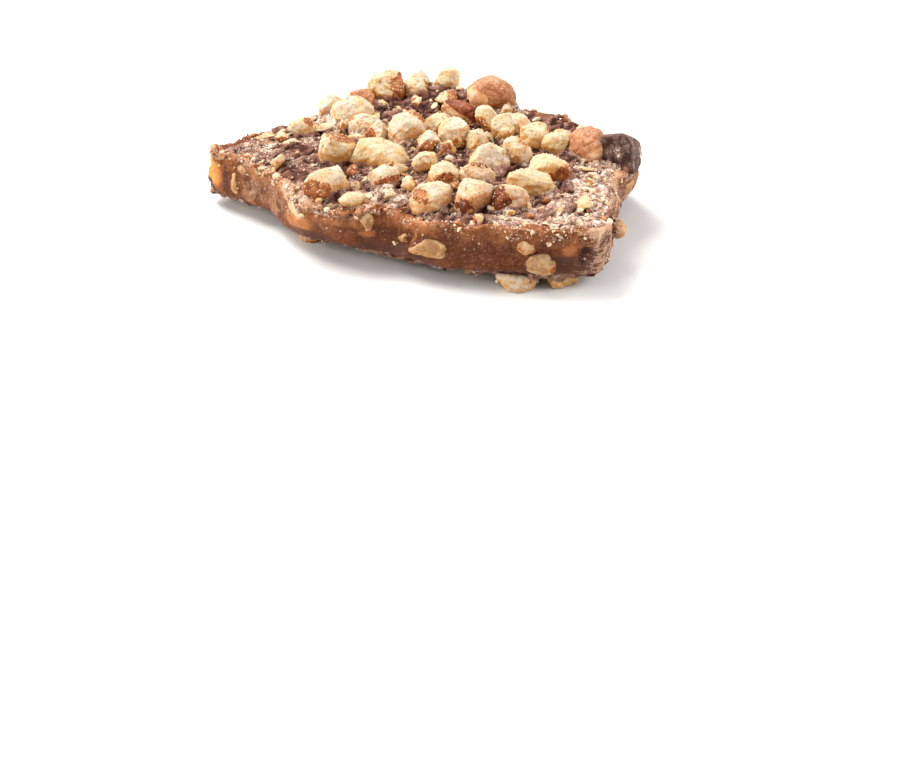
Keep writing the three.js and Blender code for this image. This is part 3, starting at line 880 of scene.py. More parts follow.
@dataclass
class ToffeeSlab:
    """The slab of toffee with its lifted rim, a painted amber glow at thin edges, chocolate smears
    and painted shade in a hollow.
    """

    side: BrokenSide
    voxel: float = 0.34 * MM
    smoothing: int = 5
    swell: float = 0.1
    roughness: Sequence[Wave] = (Wave(0.5, 3.2, 4.0), Wave(0.16, 1.1, 6.0), Wave(0.07, 0.5, 8.0))
    ridge_rounds: int = 24
    ridge_height: float = 0.3 * MM
    rim_depth: float = 3 * MM
    lift_least: float = 0.1 * MM
    lift_most: float = 1.3 * MM
    # Dark marks: chocolate at the tip's foot, and painted shade in the hollow at the right front
    # corner.
    stain_and_hollow_shade_blots: Sequence[Blot] = (
        Blot((27.0, -29.6, 7.6), (0.7, 2.2, 0.6), 0.8),
        Blot((26.4, -29.6, 6.2), (0.5, 2.2, 0.8), 0.8),
        Blot((-36.6, 2.6, 3.7), (1.4, 3.0, 0.6), 0.9),
    )
    smears: Sequence[Blot] = (
        Blot((24.5, -29.4, 4.2), (6.0, 3.0, 1.8)),
        Blot((29.8, -27.5, 6.0), (2.2, 3.0, 3.4)),
        Blot((-18.0, -16.5, 4.0), (4.5, 3.0, 0.9), 0.8),
        Blot((-3.0, -22.5, 4.0), (9.0, 3.0, 0.9), 0.8),
        Blot((-33.2, 0.9, 6.2), (0.4, 2.0, 2.4), 0.7),
    )
    # Blots of painted amber glow, light through the thin tip, edges and corners.
    glows: Sequence[Blot] = (
        Blot((-35.6, 2.7, 6.5), (1.1, 2.5, 1.7), 1.35),
        Blot((-14.0, -20.6, 9.4), (11.0, 3.0, 1.2), 0.45),
        Blot((-20.6, -16.6, 6.4), (1.8, 3.0, 1.8), 0.75),
        Blot((24.4, -30.0, 7.8), (0.8, 2.4, 0.9), 0.55),
        Blot((-8.8, -20.5, 6.5), (1.0, 2.0, 0.5), 0.7),
    )
    crumbly: Sequence[Blot] = (
        Blot((-30.0, -2.0, 10.0), (8.0, 7.0, 9.0)),
        Blot((-15.0, -18.0, 10.0), (10.0, 6.0, 9.0), 0.8),
        Blot((28.0, 14.0, 10.0), (9.0, 9.0, 9.0), 0.6),
    )
    pales: Sequence[Blot] = (
        Blot((-20.0, -14.2, 10.6), (3.6, 3.4, 1.9)),
        Blot((-20.9, -16.2, 9.2), (1.6, 3.0, 1.5), 0.9),
        Blot((-27.0, -7.0, 7.0), (4.5, 6.0, 3.5), 0.4),
        Blot((-31.0, -1.2, 11.0), (2.4, 2.0, 0.8), 0.6),
        Blot((29.0, -29.0, 10.8), (1.2, 2.0, 1.0), 0.8),
    )

    def build(self, palette: Palette) -> bpy.types.Object:
        """Carves the slab, paints its masks and dresses it.

        Args:
            palette: the shard's finishes.

        Returns:
            The finished slab.
        """
        slab = Bench.copy_of("toffee", "toffee_slab")
        Bench.remesh(slab, self.voxel, self.smoothing)
        places = points_of(slab)
        wall = 1 - np.abs(normals_of(slab)[:, 2])
        shove(slab, MM * (self.swell + wall * waves_at(places, self.roughness)))
        self._lift_rim(slab)
        self._paint(slab)
        return Bench.dress(slab, palette.toffee, "toffee", "toffee")

    def _lift_rim(self, slab: bpy.types.Object) -> None:
        """Lifts the upper rim so that it shows beside the chocolate, most where it is bare."""
        places = points_of(slab)
        depth, inward = self.side.around(places, self.side.high - self.rim_depth)
        crest = self.side.crest(places, inward)
        bare = self.side.bareness(places)
        width = MM * (1.2 + 2.6 * bare)
        share = step(depth / width, 1.0, 0.25)
        top = step(places[:, 2] - crest, -1.6 * MM, -0.3 * MM)
        lift = self.lift_least + (self.lift_most - self.lift_least) * bare
        lift = lift + 0.3 * MM * clouds(places, 1.3 * MM, 12.0)
        places[:, 2] += lift * share * top
        move_points(slab, places)
        shoulder = step(places[:, 2] - crest, -1.9 * MM, -0.2 * MM)
        broken = 0.05 + 0.75 * within(places, self.crumbly) + 0.7 * clouds(places, 3 * MM, 31.0)
        broken = np.clip(broken, 0, 1) * shoulder
        paint(slab, "crumble", broken)
        paint(slab, "level", (places[:, 2] - self.side.low) / (crest - self.side.low))
        shove(slab, MM * broken * (0.45 * plates(places, 0.9 * MM, 3.0)
                                   + 0.2 * clouds(places, 0.6 * MM, 15.0)))

    def _paint(self, slab: bpy.types.Object) -> None:
        """Paints dark marks, partly painted shade in a hollow, smears, a painted amber glow at thin
        edges and on the upper wall, and dust on the slab's points.
        """
        places = points_of(slab)
        stand = ridges(slab, self.ridge_rounds, self.ridge_height)
        height = rows(slab.data.attributes["level"].data, "value", 1)[:, 0]
        paint(slab, "stain_and_hollow_shade", within(places, self.stain_and_hollow_shade_blots))
        paint(slab, "smear", np.maximum(within(places, self.smears), step(height, 0.15, 0.0)))
        # Painted light: an amber glow on the upper wall, light through its thin top edge.
        upper = 0.6 * step(height, 0.5, 0.95) * (places[:, 0] < 26 * MM)
        upper = upper * np.clip(0.55 + 0.9 * clouds(places, 6 * MM, 41.0), 0, 1)
        # Painted light: the glow also follows the ridges that stand out, light through thin edges.
        glow = np.maximum.reduce((within(places, self.glows, 1.2), 0.45 * stand, upper))
        paint(slab, "glow", glow)
        paint(slab, "pale", within(places, self.pales, 0.8))
        right = step(places[:, 0], 22 * MM, 31 * MM)
        dust = 0.3 * stand + 0.12 * step(height, 0.95, 1.15) + 0.6 * right + 0.05
        paint(slab, "dust", np.clip(dust, 0, 1))


# ---------------------------------------------------------------- chocolate


@dataclass
class ChocolateCoat:
    """One of the two coats: broken, lumpy chocolate that thins out at the rim and climbs the pecans."""

    node: str
    name: str
    outward: float
    side: BrokenSide
    drifts: Drifts
    tuck_least: float
    tuck_most: float
    voxel: float = 0.27 * MM
    smoothing: int = 4
    gap: float = 0.5 * MM
    rim_reach: float = 3.5 * MM
    rim_drop: float = 0.25 * MM
    lowest: float = 0.3 * MM
    ridge_rounds: int = 14
    ridge_height: float = 0.22 * MM
    lump: float = 3.2 * MM
    swelling: float = 3.6 * MM
    flake: float = 2.1 * MM
    sheet: float = 2.4 * MM
    fold: float = 3.2 * MM
    climb: float = 0.9 * MM
    climb_reach: float = 1.3 * MM
    spread_way: float = 32.0
    rough: Sequence[Blot] = (
        Blot((-1.0, 19.0, 11.0), (11.0, 6.0, 9.0)),
        Blot((33.0, 2.0, 11.0), (6.0, 6.0, 9.0)),
        Blot((3.0, -15.5, 11.0), (5.0, 3.0, 9.0)),
    )

    def build(self, palette: Palette, pecans: Sequence[bpy.types.Object]) -> bpy.types.Object:
        """Carves the coat round the pecan pieces and dresses it.

        Args:
            palette: the shard's finishes.
            pecans: the large pieces that lie in this coat.

        Returns:
            The finished coat.
        """
        coat = Bench.copy_of(self.node, self.name)
        self._close_gap(coat)
        Bench.remesh(coat, self.voxel, self.smoothing)
        self._tuck_rim(coat)
        self._break_up(coat)
        self._climb(coat, pecans)
        # The ridge measure drives the finish's painted shade in hollows and painted light on ridges.
        paint(coat, "ridge", ridges(coat, self.ridge_rounds, self.ridge_height))
        paint(coat, "dust", self.drifts.depth(points_of(coat)))
        return Bench.dress(coat, palette.chocolate, "chocolate", self.node)

    def _close_gap(self, coat: bpy.types.Object) -> None:
        """Draws the coat's inner face onto the toffee."""
        places = points_of(coat)
        inner = normals_of(coat)[:, 2] * self.outward < -0.35
        places[inner, 2] -= self.outward * self.gap
        move_points(coat, places)

    def _tuck_rim(self, coat: bpy.types.Object) -> None:
        """Draws the rim in behind the broken side, most where the toffee lies bare."""
        places = points_of(coat)
        level = self.side.high - MM if self.outward > 0 else self.side.low + MM
        depth, inward = self.side.around(places, level)
        tuck = self.tuck_least + (self.tuck_most - self.tuck_least) * self.side.bareness(places)
        share = step(depth, self.rim_reach, 0.0)
        places += inward * (tuck * share)[:, None]
        places[:, 2] -= self.outward * self.rim_drop * share
        move_points(coat, places)

    def _break_up(self, coat: bpy.types.Object) -> None:
        """Breaks the smooth chocolate into lumps, flakes and hollows."""
        places = points_of(coat)
        face = step(normals_of(coat)[:, 2] * self.outward, 0.0, 0.7)
        broken = np.clip(0.9 * clouds(places, 5 * MM, 1.0) + within(places, self.rough), 0, 1)
        streak = self._along_the_spread(places)
        warped = places + 0.5 * MM * clouds(places, 1.2 * MM, 13.0)[:, None]
        relief = (0.75 * broken * rubble(places, self.lump, 5.0)
                  + 0.45 * clouds(places, self.swelling, 8.0)
                  + 0.55 * broken * plates(warped, self.flake, 7.0)
                  + 0.4 * (1 - broken) * plates(streak, self.sheet, 17.0)
                  + 0.2 * clouds(streak, 1.2 * MM, 21.0)
                  - 0.55 * folds(streak, self.fold, 0.06, 3.0)
                  + 0.08 * clouds(places, 0.7 * MM, 11.0))
        shove(coat, MM * relief * (0.2 + 0.8 * face))
        keep_above(coat, self.lowest)

    def _along_the_spread(self, places: np.ndarray) -> np.ndarray:
        """The places, drawn out along the way in which the chocolate was spread."""
        turn = math.radians(self.spread_way)
        along = places @ np.array((math.cos(turn), math.sin(turn), 0))
        across = places @ np.array((-math.sin(turn), math.cos(turn), 0))
        wander = 0.9 * MM * clouds(places, 4 * MM, 4.0)
        return np.stack((0.5 * along, 1.2 * across + wander, places[:, 2]), 1)

    def _climb(self, coat: bpy.types.Object, pecans: Sequence[bpy.types.Object]) -> None:
        """Draws the outer face up round each pecan piece."""
        tree = tree_of(pecans)
        places = points_of(coat)
        outer = np.flatnonzero(normals_of(coat)[:, 2] * self.outward > 0.3)
        uneven = 0.65 + 0.7 * clouds(places, 1.2 * MM, 14.0)
        for index in outer:
            distance = tree.find_nearest(Vector(places[index]), self.climb_reach)[3]
            if distance is not None:
                share = 1 - distance / self.climb_reach
                places[index, 2] += self.outward * self.climb * uneven[index] * share * share
        move_points(coat, places)


# ---------------------------------------------------------------- pecans


@dataclass(frozen=True)
class PecanLook:
    """What one pecan piece shows: its tone, and where and how far its skin covers it."""

    tone: Tone
    cover: float = 0.0
    azimuth: float = 0.0
    elevation: float = 0.0
    grooves: float = 0.0
    chops: int = 6
    bite: float = 0.1

    def toward(self) -> Vector:
        """The direction that the skin faces."""
        turn, rise = math.radians(self.azimuth), math.radians(self.elevation)
        level = math.cos(rise)
        return Vector((math.cos(turn) * level, math.sin(turn) * level, math.sin(rise)))


# One look for each pecan piece on top, in the order of their nodes.
TOP_LOOKS = (
    PecanLook(Tone.CREAM, 0.12, 30, 40),
    PecanLook(Tone.CREAM, 0.05, -60, -20),
    PecanLook(Tone.CREAM, 0.17, -125, -25),
    PecanLook(Tone.CREAM, 0.09, -135, 20),
    PecanLook(Tone.TAN, 0.07, -120, -20, 0.3),
    PecanLook(Tone.YELLOW),
    PecanLook(Tone.CREAM, 0.04, 150, 20),
    PecanLook(Tone.YELLOW, 0.24, -35, -35),
    PecanLook(Tone.TAN, 0.40, -160, -10, 0.3),
    PecanLook(Tone.ROASTED, 0.80, 30, 30, 0.35, 1),
    PecanLook(Tone.ROASTED, 0.80, 150, 40, 0.35, 1),
    PecanLook(Tone.COATED, bite=0.28),
    PecanLook(Tone.YELLOW, 0.02, 90, 0),
    PecanLook(Tone.CREAM, 0.03, 90, 0),
    PecanLook(Tone.YELLOW, 0.24, -10, 0),
    PecanLook(Tone.TAN, 0.56, 10, 40, 0.6),
    PecanLook(Tone.YELLOW, 0.05, 40, 20),
    PecanLook(Tone.CREAM, 0.04, 90, 20),
    PecanLook(Tone.YELLOW, 0.06, -30, -30),
    PecanLook(Tone.CREAM, 0.05, 0, 60),
    PecanLook(Tone.YELLOW, 0.06, 60, 20),
    PecanLook(Tone.YELLOW),
    PecanLook(Tone.YELLOW, 0.08, -130, -20),
    PecanLook(Tone.YELLOW, 0.10, 0, 30),
    PecanLook(Tone.CREAM, 0.22, -80, -10),
    PecanLook(Tone.YELLOW, 0.03, 30, 0),
    PecanLook(Tone.CREAM, 0.12, -150, -10),
    PecanLook(Tone.CREAM, 0.06, 160, 0),
    PecanLook(Tone.YELLOW, 0.20, 50, 60),
    PecanLook(Tone.CREAM, 0.20, -60, -30),
    PecanLook(Tone.YELLOW, 0.13, -95, 0),
    PecanLook(Tone.TAN, 0.16, 60, 50, 0.2),
    PecanLook(Tone.ROASTED, 0.55, 0, 60, 0.3),
    PecanLook(Tone.YELLOW, 0.12, 10, 40),
    PecanLook(Tone.YELLOW, 0.08, 60, 0),
    PecanLook(Tone.CREAM, 0.05, 90, 0),
    PecanLook(Tone.CREAM, 0.08, 20, 0),
    PecanLook(Tone.CREAM, 0.04, 0, 0),
)


@dataclass
class Pecans:
    """The large pecan pieces of one face, each on its own solid."""

    prefix: str
    outward: float
    looks: Sequence[PecanLook]
    voxel: float = 0.23 * MM
    smoothing: int = 2
    ridge_rounds: int = 12
    ridge_height: float = 0.18 * MM
    groove_count: int = 9
    groove_depth: float = 0.3 * MM
    bedding: float = 0.95 * MM
    swell: float = 0.3 * MM
    coat: float = 0.25 * MM

    def build(self, palette: Palette) -> list[bpy.types.Object]:
        """Carves and dresses every piece.

        Args:
            palette: the shard's finishes.

        Returns:
            The finished pieces.
        """
        nodes = sorted(name for name in frame["nodes"] if name.startswith(self.prefix))
        pieces = [self._piece(node, look, seed)
                  for seed, (node, look) in enumerate(zip(nodes, self.looks))]
        for piece, node, look in zip(pieces, nodes, self.looks):
            Bench.dress(piece, palette.tones[look.tone], SLOTS[node], node)
        return pieces

    def _piece(self, node: str, look: PecanLook, seed: int) -> bpy.types.Object:
        """One piece: bedded into the chocolate, rounded, lobed, pitted, and its skin painted."""
        piece = Bench.copy_of(node, f"{node}_piece")
        self._bed(piece)
        Bench.remesh(piece, self.voxel, self.smoothing)
        places = points_of(piece)
        smooth = look.tone in (Tone.ROASTED, Tone.COATED)
        lobes = 0.4 * clouds(places, 2.6 * MM, seed) - 0.25 * folds(places, 4.5 * MM, 0.06, seed + 1)
        coat = self.coat if look.tone is Tone.COATED else 0.0
        shove(piece, self.swell + coat + MM * lobes * (0.3 if smooth else 1.0))
        self._chop(piece, look, seed)
        places = points_of(piece)
        grain = waves_at(places, (Wave(0.14, 0.9, seed + 3), Wave(0.11, 0.42, seed + 5)))
        shove(piece, MM * grain * (0.4 if smooth else 1.0))
        if self.outward < 0:
            keep_above(piece, 0)
        # The ridge measure drives the flesh's painted shade in its creases.
        paint(piece, "ridge", ridges(piece, self.ridge_rounds, self.ridge_height))
        if look.tone is Tone.COATED:
            paint(piece, "dust", 0.4 + 0.6 * clouds(points_of(piece), 1.4 * MM, 3.0))
        self._skin(piece, node, look, seed)
        return piece

    def _chop(self, piece: bpy.types.Object, look: PecanLook, seed: int) -> None:
        """Flattens what stands past each of the look's random cuts, and keeps the piece's size."""
        rng = np.random.default_rng(seed)
        places = points_of(piece)
        low, high = places.min(0), places.max(0)
        middle = (low + high) / 2
        for _ in range(look.chops):
            way = rng.normal(size=3)
            way[2] = self.outward * abs(way[2])
            way /= np.linalg.norm(way)
            reach = (places - middle) @ way
            kept = 1 - look.bite * rng.uniform(0.4, 1.4)
            past = np.maximum(reach - np.quantile(reach, kept), 0)
            places -= way * (0.9 * past)[:, None]
        share = (places - places.min(0)) / (places.max(0) - places.min(0))
        move_points(piece, low + share * (high - low))
        Bench.modify(piece, "SMOOTH", factor=0.5, iterations=1)

    def _bed(self, piece: bpy.types.Object) -> None:
        """Draws the cut base down into the chocolate."""
        places = points_of(piece)
        base = normals_of(piece)[:, 2] * self.outward < -0.3
        places[base, 2] -= self.outward * self.bedding
        move_points(piece, places)
        if self.outward < 0:
            keep_above(piece, 0)

    def _skin(self, piece: bpy.types.Object, node: str, look: PecanLook, seed: int) -> None:
        """Paints the skin and presses its lengthwise grooves in."""
        low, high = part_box(node)
        centre = np.array((low + high) / 2)
        half = np.array((high - low) / 2)
        places = points_of(piece)
        local = (places - centre) / half
        reach = local / np.maximum(np.linalg.norm(local, axis=1), 1e-6)[:, None]
        facing = reach @ np.array(look.toward())
        cover = facing - (1 - 2 * look.cover) + 0.22 * clouds(places, 1.9 * MM, seed)
        paint(piece, "skin", np.clip(cover, -1, 1))
        if look.grooves:
            long_way = np.array(look.toward().cross(Vector((0, 0, 1))).normalized())
            side = np.cross(long_way, np.array(look.toward()))
            angle = np.arctan2(reach @ side, facing)
            wander = 1.5 * clouds(places, 3 * MM, seed + 9)
            wave = 0.5 + 0.5 * np.cos(self.groove_count * angle + wander)
            depth = self.groove_depth * look.grooves * np.clip(cover * 3, 0, 1)
            move_points(piece, places - normals_of(piece) * (depth * (1 - wave) ** 3)[:, None])


# ---------------------------------------------------------------- chopped bits and crumbs


@dataclass(frozen=True)
class Chop:
    """How a kind of bit is chopped: the lump it starts from, its cuts and its roughness."""

    fineness: int
    cuts: int
    roughness: float
    variants: int = 8
    voxel: float = 0.0
    kept: float = 1.0

    def shapes(self) -> list[tuple[np.ndarray, np.ndarray]]:
        """Models every variant about its middle.

        Returns:
            Points, each about one unit from the middle, and triangles of each variant.
        """
        rng = np.random.default_rng(100 * self.fineness + self.cuts)
        return [self._shape(rng, number) for number in range(self.variants)]

    def _shape(self, rng: np.random.Generator, number: int) -> tuple[np.ndarray, np.ndarray]:
        """One lump with flat cuts, filled and knocked about a little."""
        bpy.ops.object.select_all(action="DESELECT")
        if self.fineness:
            bpy.ops.mesh.primitive_ico_sphere_add(subdivisions=self.fineness, radius=1)
        else:
            bpy.ops.mesh.primitive_cube_add(size=2)
        lump = bpy.context.object
        for _ in range(self.cuts):
            way = Vector(rng.normal(size=3)).normalized()
            place = way * rng.uniform(0.35, 0.8)
            Bench.edit(lump, lambda: bpy.ops.mesh.bisect(
                plane_co=place, plane_no=way, use_fill=True, clear_outer=True))
        if self.voxel:
            Bench.remesh(lump, self.voxel, 3)
            places = points_of(lump)
            shove(lump, 0.16 * clouds(places, 0.8, number) + 0.07 * clouds(places, 0.3, number + 3))
        if self.kept < 1:
            Bench.modify(lump, "DECIMATE", ratio=self.kept)
        if self.roughness:
            Bench.edit(lump, lambda: bpy.ops.transform.vertex_random(
                offset=self.roughness, seed=number + 1))
        Bench.edit(lump, lambda: bpy.ops.mesh.quads_convert_to_tris())
        faces = np.array([tuple(face.vertices) for face in lump.data.polygons])
        points = points_of(lump)
        bpy.data.objects.remove(lump)
        points -= (points.min(0) + points.max(0)) / 2
        return points / np.abs(points).max(0), faces


@dataclass
class Heap:
    """Points, triangles and painted skin of many bits, on their way to one joined mesh."""

    points: list[np.ndarray] = field(default_factory=list)
    faces: list[np.ndarray] = field(default_factory=list)
    skin: list[np.ndarray] = field(default_factory=list)
    count: int = 0

    def add(self, points: np.ndarray, faces: np.ndarray, skin: np.ndarray) -> None:
        """Adds one bit."""
        self.points.append(points)
        self.faces.append(faces + self.count)
        self.skin.append(skin)
        self.count += len(points)

    def join(self, name: str) -> bpy.types.Object:
        """Makes the joined mesh.

        Args:
            name: the piece's name.

        Returns:
            The new piece.
        """
        faces = np.concatenate(self.faces)
        mesh = bpy.data.meshes.new(name)
        mesh.vertices.add(self.count)
        mesh.vertices.foreach_set("co", np.concatenate(self.points).astype(np.float32).ravel())
        mesh.loops.add(faces.size)
        mesh.loops.foreach_set("vertex_index", faces.astype(np.int32).ravel())
        mesh.polygons.add(len(faces))
        mesh.polygons.foreach_set("loop_start", np.arange(0, faces.size, 3, dtype=np.int32))
        mesh.update()
        mesh.validate()
        piece = put(name, mesh)
        paint(piece, "skin", np.concatenate(self.skin))
        return piece


@dataclass
class Bumps:
    """Finds the small bits that are fused to a packed coat."""

    node: str
    outward: float
    cell: float = 0.45 * MM
    window: int = 5
    least_rise: float = 0.28 * MM
    least_cells: int = 5
    widen: float = 1.9
    margin: float = 0.35 * MM

    def places(self) -> list[Place]:
        """Where the bumps of the coat are.

        Returns:
            One place for each bump.
        """
        heights, corner = self._heights()
        ground = self._spread(self._spread(heights, np.fmin), np.fmax)
        rise = np.nan_to_num(heights - ground)
        return [self._place(cells, heights, rise, corner) for cells in self._islands(rise)]

    def _heights(self) -> tuple[np.ndarray, np.ndarray]:
        """Heights of the coat's outer face on a grid, and the grid's corner."""
        tree = tree_of([frame["nodes"][self.node]])
        low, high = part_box(self.node)
        count = [int((high[axis] - low[axis]) / self.cell) + 1 for axis in (0, 1)]
        heights = np.full(count, np.nan)
        for i, j in np.ndindex(*count):
            start = Vector((low.x + i * self.cell, low.y + j * self.cell, 30 * MM * self.outward))
            hit = tree.ray_cast(start, Vector((0, 0, -self.outward)))[0]
            if hit is not None:
                heights[i, j] = hit.z * self.outward
        return heights, np.array((low.x, low.y))

    def _spread(self, heights: np.ndarray, pick: Callable) -> np.ndarray:
        """The lowest or highest height in the window round each cell."""
        for axis in (0, 1):
            padded = np.pad(heights, self.window, constant_values=np.nan)
            count = heights.shape[axis]
            other = 1 - axis
            inner = np.take(padded, range(self.window, self.window + heights.shape[other]), other)
            rows = [np.take(inner, range(shift, shift + count), axis)
                    for shift in range(2 * self.window + 1)]
            heights = pick.reduce(rows)
        return heights

    def _islands(self, rise: np.ndarray) -> list[np.ndarray]:
        """Groups of touching cells that stand out."""
        open_cells = {tuple(cell) for cell in np.argwhere(rise > self.least_rise)}
        islands = []
        while open_cells:
            island, edge = [], [min(open_cells)]
            open_cells.discard(edge[0])
            while edge:
                i, j = edge.pop()
                island.append((i, j))
                for cell in ((i + 1, j), (i - 1, j), (i, j + 1), (i, j - 1)):
                    if cell in open_cells:
                        open_cells.discard(cell)
                        edge.append(cell)
            if len(island) >= self.least_cells:
                islands.append(np.array(island))
        return islands

    def _place(self, cells: np.ndarray, heights: np.ndarray, rise: np.ndarray,
               corner: np.ndarray) -> Place:
        """The place that covers one group of cells."""
        spots = corner + cells * self.cell
        middle = (spots.min(0) + spots.max(0)) / 2
        spread, ways = np.linalg.eigh(np.cov((spots - middle).T) + np.eye(2) * 1e-12)
        half = self.widen * np.sqrt(spread) + self.margin
        top = heights[cells[:, 0], cells[:, 1]].max()
        height = rise[cells[:, 0], cells[:, 1]].max()
        size = (1.85 * half[1], 1.85 * half[0], 3.0 * height)
        at = (*middle, self.outward * (top - 1.1 * height))
        return Place(at, size, math.degrees(math.atan2(ways[1, 1], ways[0, 1])))


@dataclass
class SmallPecans:
    """Chopped pecan bits of a few millimetres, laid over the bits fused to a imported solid."""

    name: str
    node: str
    tone: Tone
    seed: int
    skinned: float = 0.4
    ridge_rounds: int = 6
    ridge_height: float = 0.15 * MM

    def build(self, palette: Palette, places: Sequence[Place],
              wall: bpy.types.Object | None = None) -> bpy.types.Object:
        """Lays the bits as one joined mesh.

        Args:
            palette: the shard's finishes.
            places: where the bits lie.
            wall: a broken face that the bits were broken off with, flush.

        Returns:
            The finished piece.
        """
        rng = np.random.default_rng(self.seed)
        shapes = Chop(3, 5, 0.0, variants=10, voxel=0.13).shapes()
        heap = Heap()
        for number, place in enumerate(places):
            base, faces = shapes[number % len(shapes)]
            turn = np.array(Matrix.Rotation(math.radians(place.turn), 3, "Z"))
            way = rng.normal(size=3)
            cover = rng.uniform(0.2, 0.6) if rng.random() < self.skinned else rng.uniform(0.0, 0.12)
            facing = base @ (way / np.linalg.norm(way))
            skin = facing - (1 - 2 * cover)
            points = (base * np.array(place.size) / 2) @ turn.T + np.array(place.at)
            points[:, 2] = np.maximum(points[:, 2], 0)
            heap.add(points, faces, np.clip(skin, -1, 1))
        piece = heap.join(self.name)
        if wall:
            self._break_off(piece, wall)
        # The ridge measure drives the flesh's painted shade in its creases.
        paint(piece, "ridge", ridges(piece, self.ridge_rounds, self.ridge_height))
        return Bench.dress(piece, palette.tones[self.tone], "pecan_flesh", self.node)

    @staticmethod
    def _break_off(piece: bpy.types.Object, wall: bpy.types.Object) -> None:
        """Draws back what stands out of the wall, more here and less there."""
        tree = tree_of([wall])
        places = points_of(piece)
        proud = MM * (0.3 + 0.35 * clouds(places, 5 * MM, 61.0) + 0.12 * clouds(places, 0.8 * MM, 62.0))
        for index, place in enumerate(places):
            spot, normal, _, _ = tree.find_nearest(Vector(place))
            out = (Vector(place) - spot).dot(normal)
            if out > proud[index]:
                places[index] = spot + normal * (0.8 * proud[index] + 0.2 * out)
        move_points(piece, places)


class Ground:
    """The finished surface that crumbs are strewn on."""

    def __init__(self, pieces: Sequence[bpy.types.Object],
                 wanted: Callable[[np.ndarray, np.ndarray], np.ndarray]) -> None:
        """Gathers the triangles of some pieces.

        Args:
            pieces: the pieces.
            wanted: gives each triangle's weight from its middle and its normal.
        """
        corners, normals = [], []
        for piece in pieces:
            mesh = piece.data
            mesh.calc_loop_triangles()
            corners.append(points_of(piece)[rows(mesh.loop_triangles, "vertices", 3, np.int32)])
            normals.append(rows(mesh.loop_triangles, "normal", 3))
        self.corners = np.concatenate(corners)
        self.normals = np.concatenate(normals)
        area = np.linalg.norm(np.cross(self.corners[:, 1] - self.corners[:, 0],
                                       self.corners[:, 2] - self.corners[:, 0]), axis=1) / 2
        self.weights = area * wanted(self.corners.mean(1), self.normals)

    def pick(self, count: int, rng: np.random.Generator) -> tuple[np.ndarray, np.ndarray]:
        """Picks places on the surface.

        Args:
            count: how many.
            rng: the seeded source of chance.

        Returns:
            The places and the surface's normals there.
        """
        chosen = rng.choice(len(self.weights), count, p=self.weights / self.weights.sum())
        shares = rng.dirichlet((1, 1, 1), count)
        return (self.corners[chosen] * shares[:, :, None]).sum(1), self.normals[chosen]


@dataclass(frozen=True)
class Litter:
    """One kind of loose crumb: how many, how large in millimetres, how flat, and how deep it lies.

    The slot is the record's material slot.
    """

    name: str
    count: int
    smallest: float
    largest: float
    flatness: float
    sunk: float
    seed: int
    slot: str = "pecan_flesh"

    def strew(self, shapes: Sequence[tuple[np.ndarray, np.ndarray]], ground: Ground,
              material: bpy.types.Material) -> bpy.types.Object:
        """Lays the crumbs on the ground as one joined mesh.

        Args:
            shapes: the variants that they are copied from.
            ground: where they lie.
            material: their finish.

        Returns:
            The finished piece.
        """
        rng = np.random.default_rng(self.seed)
        places, normals = ground.pick(self.count, rng)
        share = rng.random(self.count) ** 3
        size = (self.smallest + (self.largest - self.smallest) * share) * MM / 2
        heap = Heap()
        for number, (place, normal) in enumerate(zip(places, normals)):
            base, corners = shapes[number % len(shapes)]
            scale = size[number] * np.array((1, rng.uniform(0.55, 1), rng.uniform(self.flatness, 0.9)))
            lying = Vector(normal).to_track_quat("Z", "Y").to_matrix()
            turn = Matrix.Rotation(rng.uniform(0, math.tau), 3, "Z")
            tilt = Matrix.Rotation(rng.normal(0, 0.35), 3, "X")
            lift = normal * scale[2] * (1 - 2 * self.sunk)
            points = (base * scale) @ np.array(lying @ (turn @ tilt)).T + place + lift
            heap.add(points, corners, np.full(len(base), -1.0))
        return Bench.dress(heap.join(self.name), material, self.slot, crisp=True)


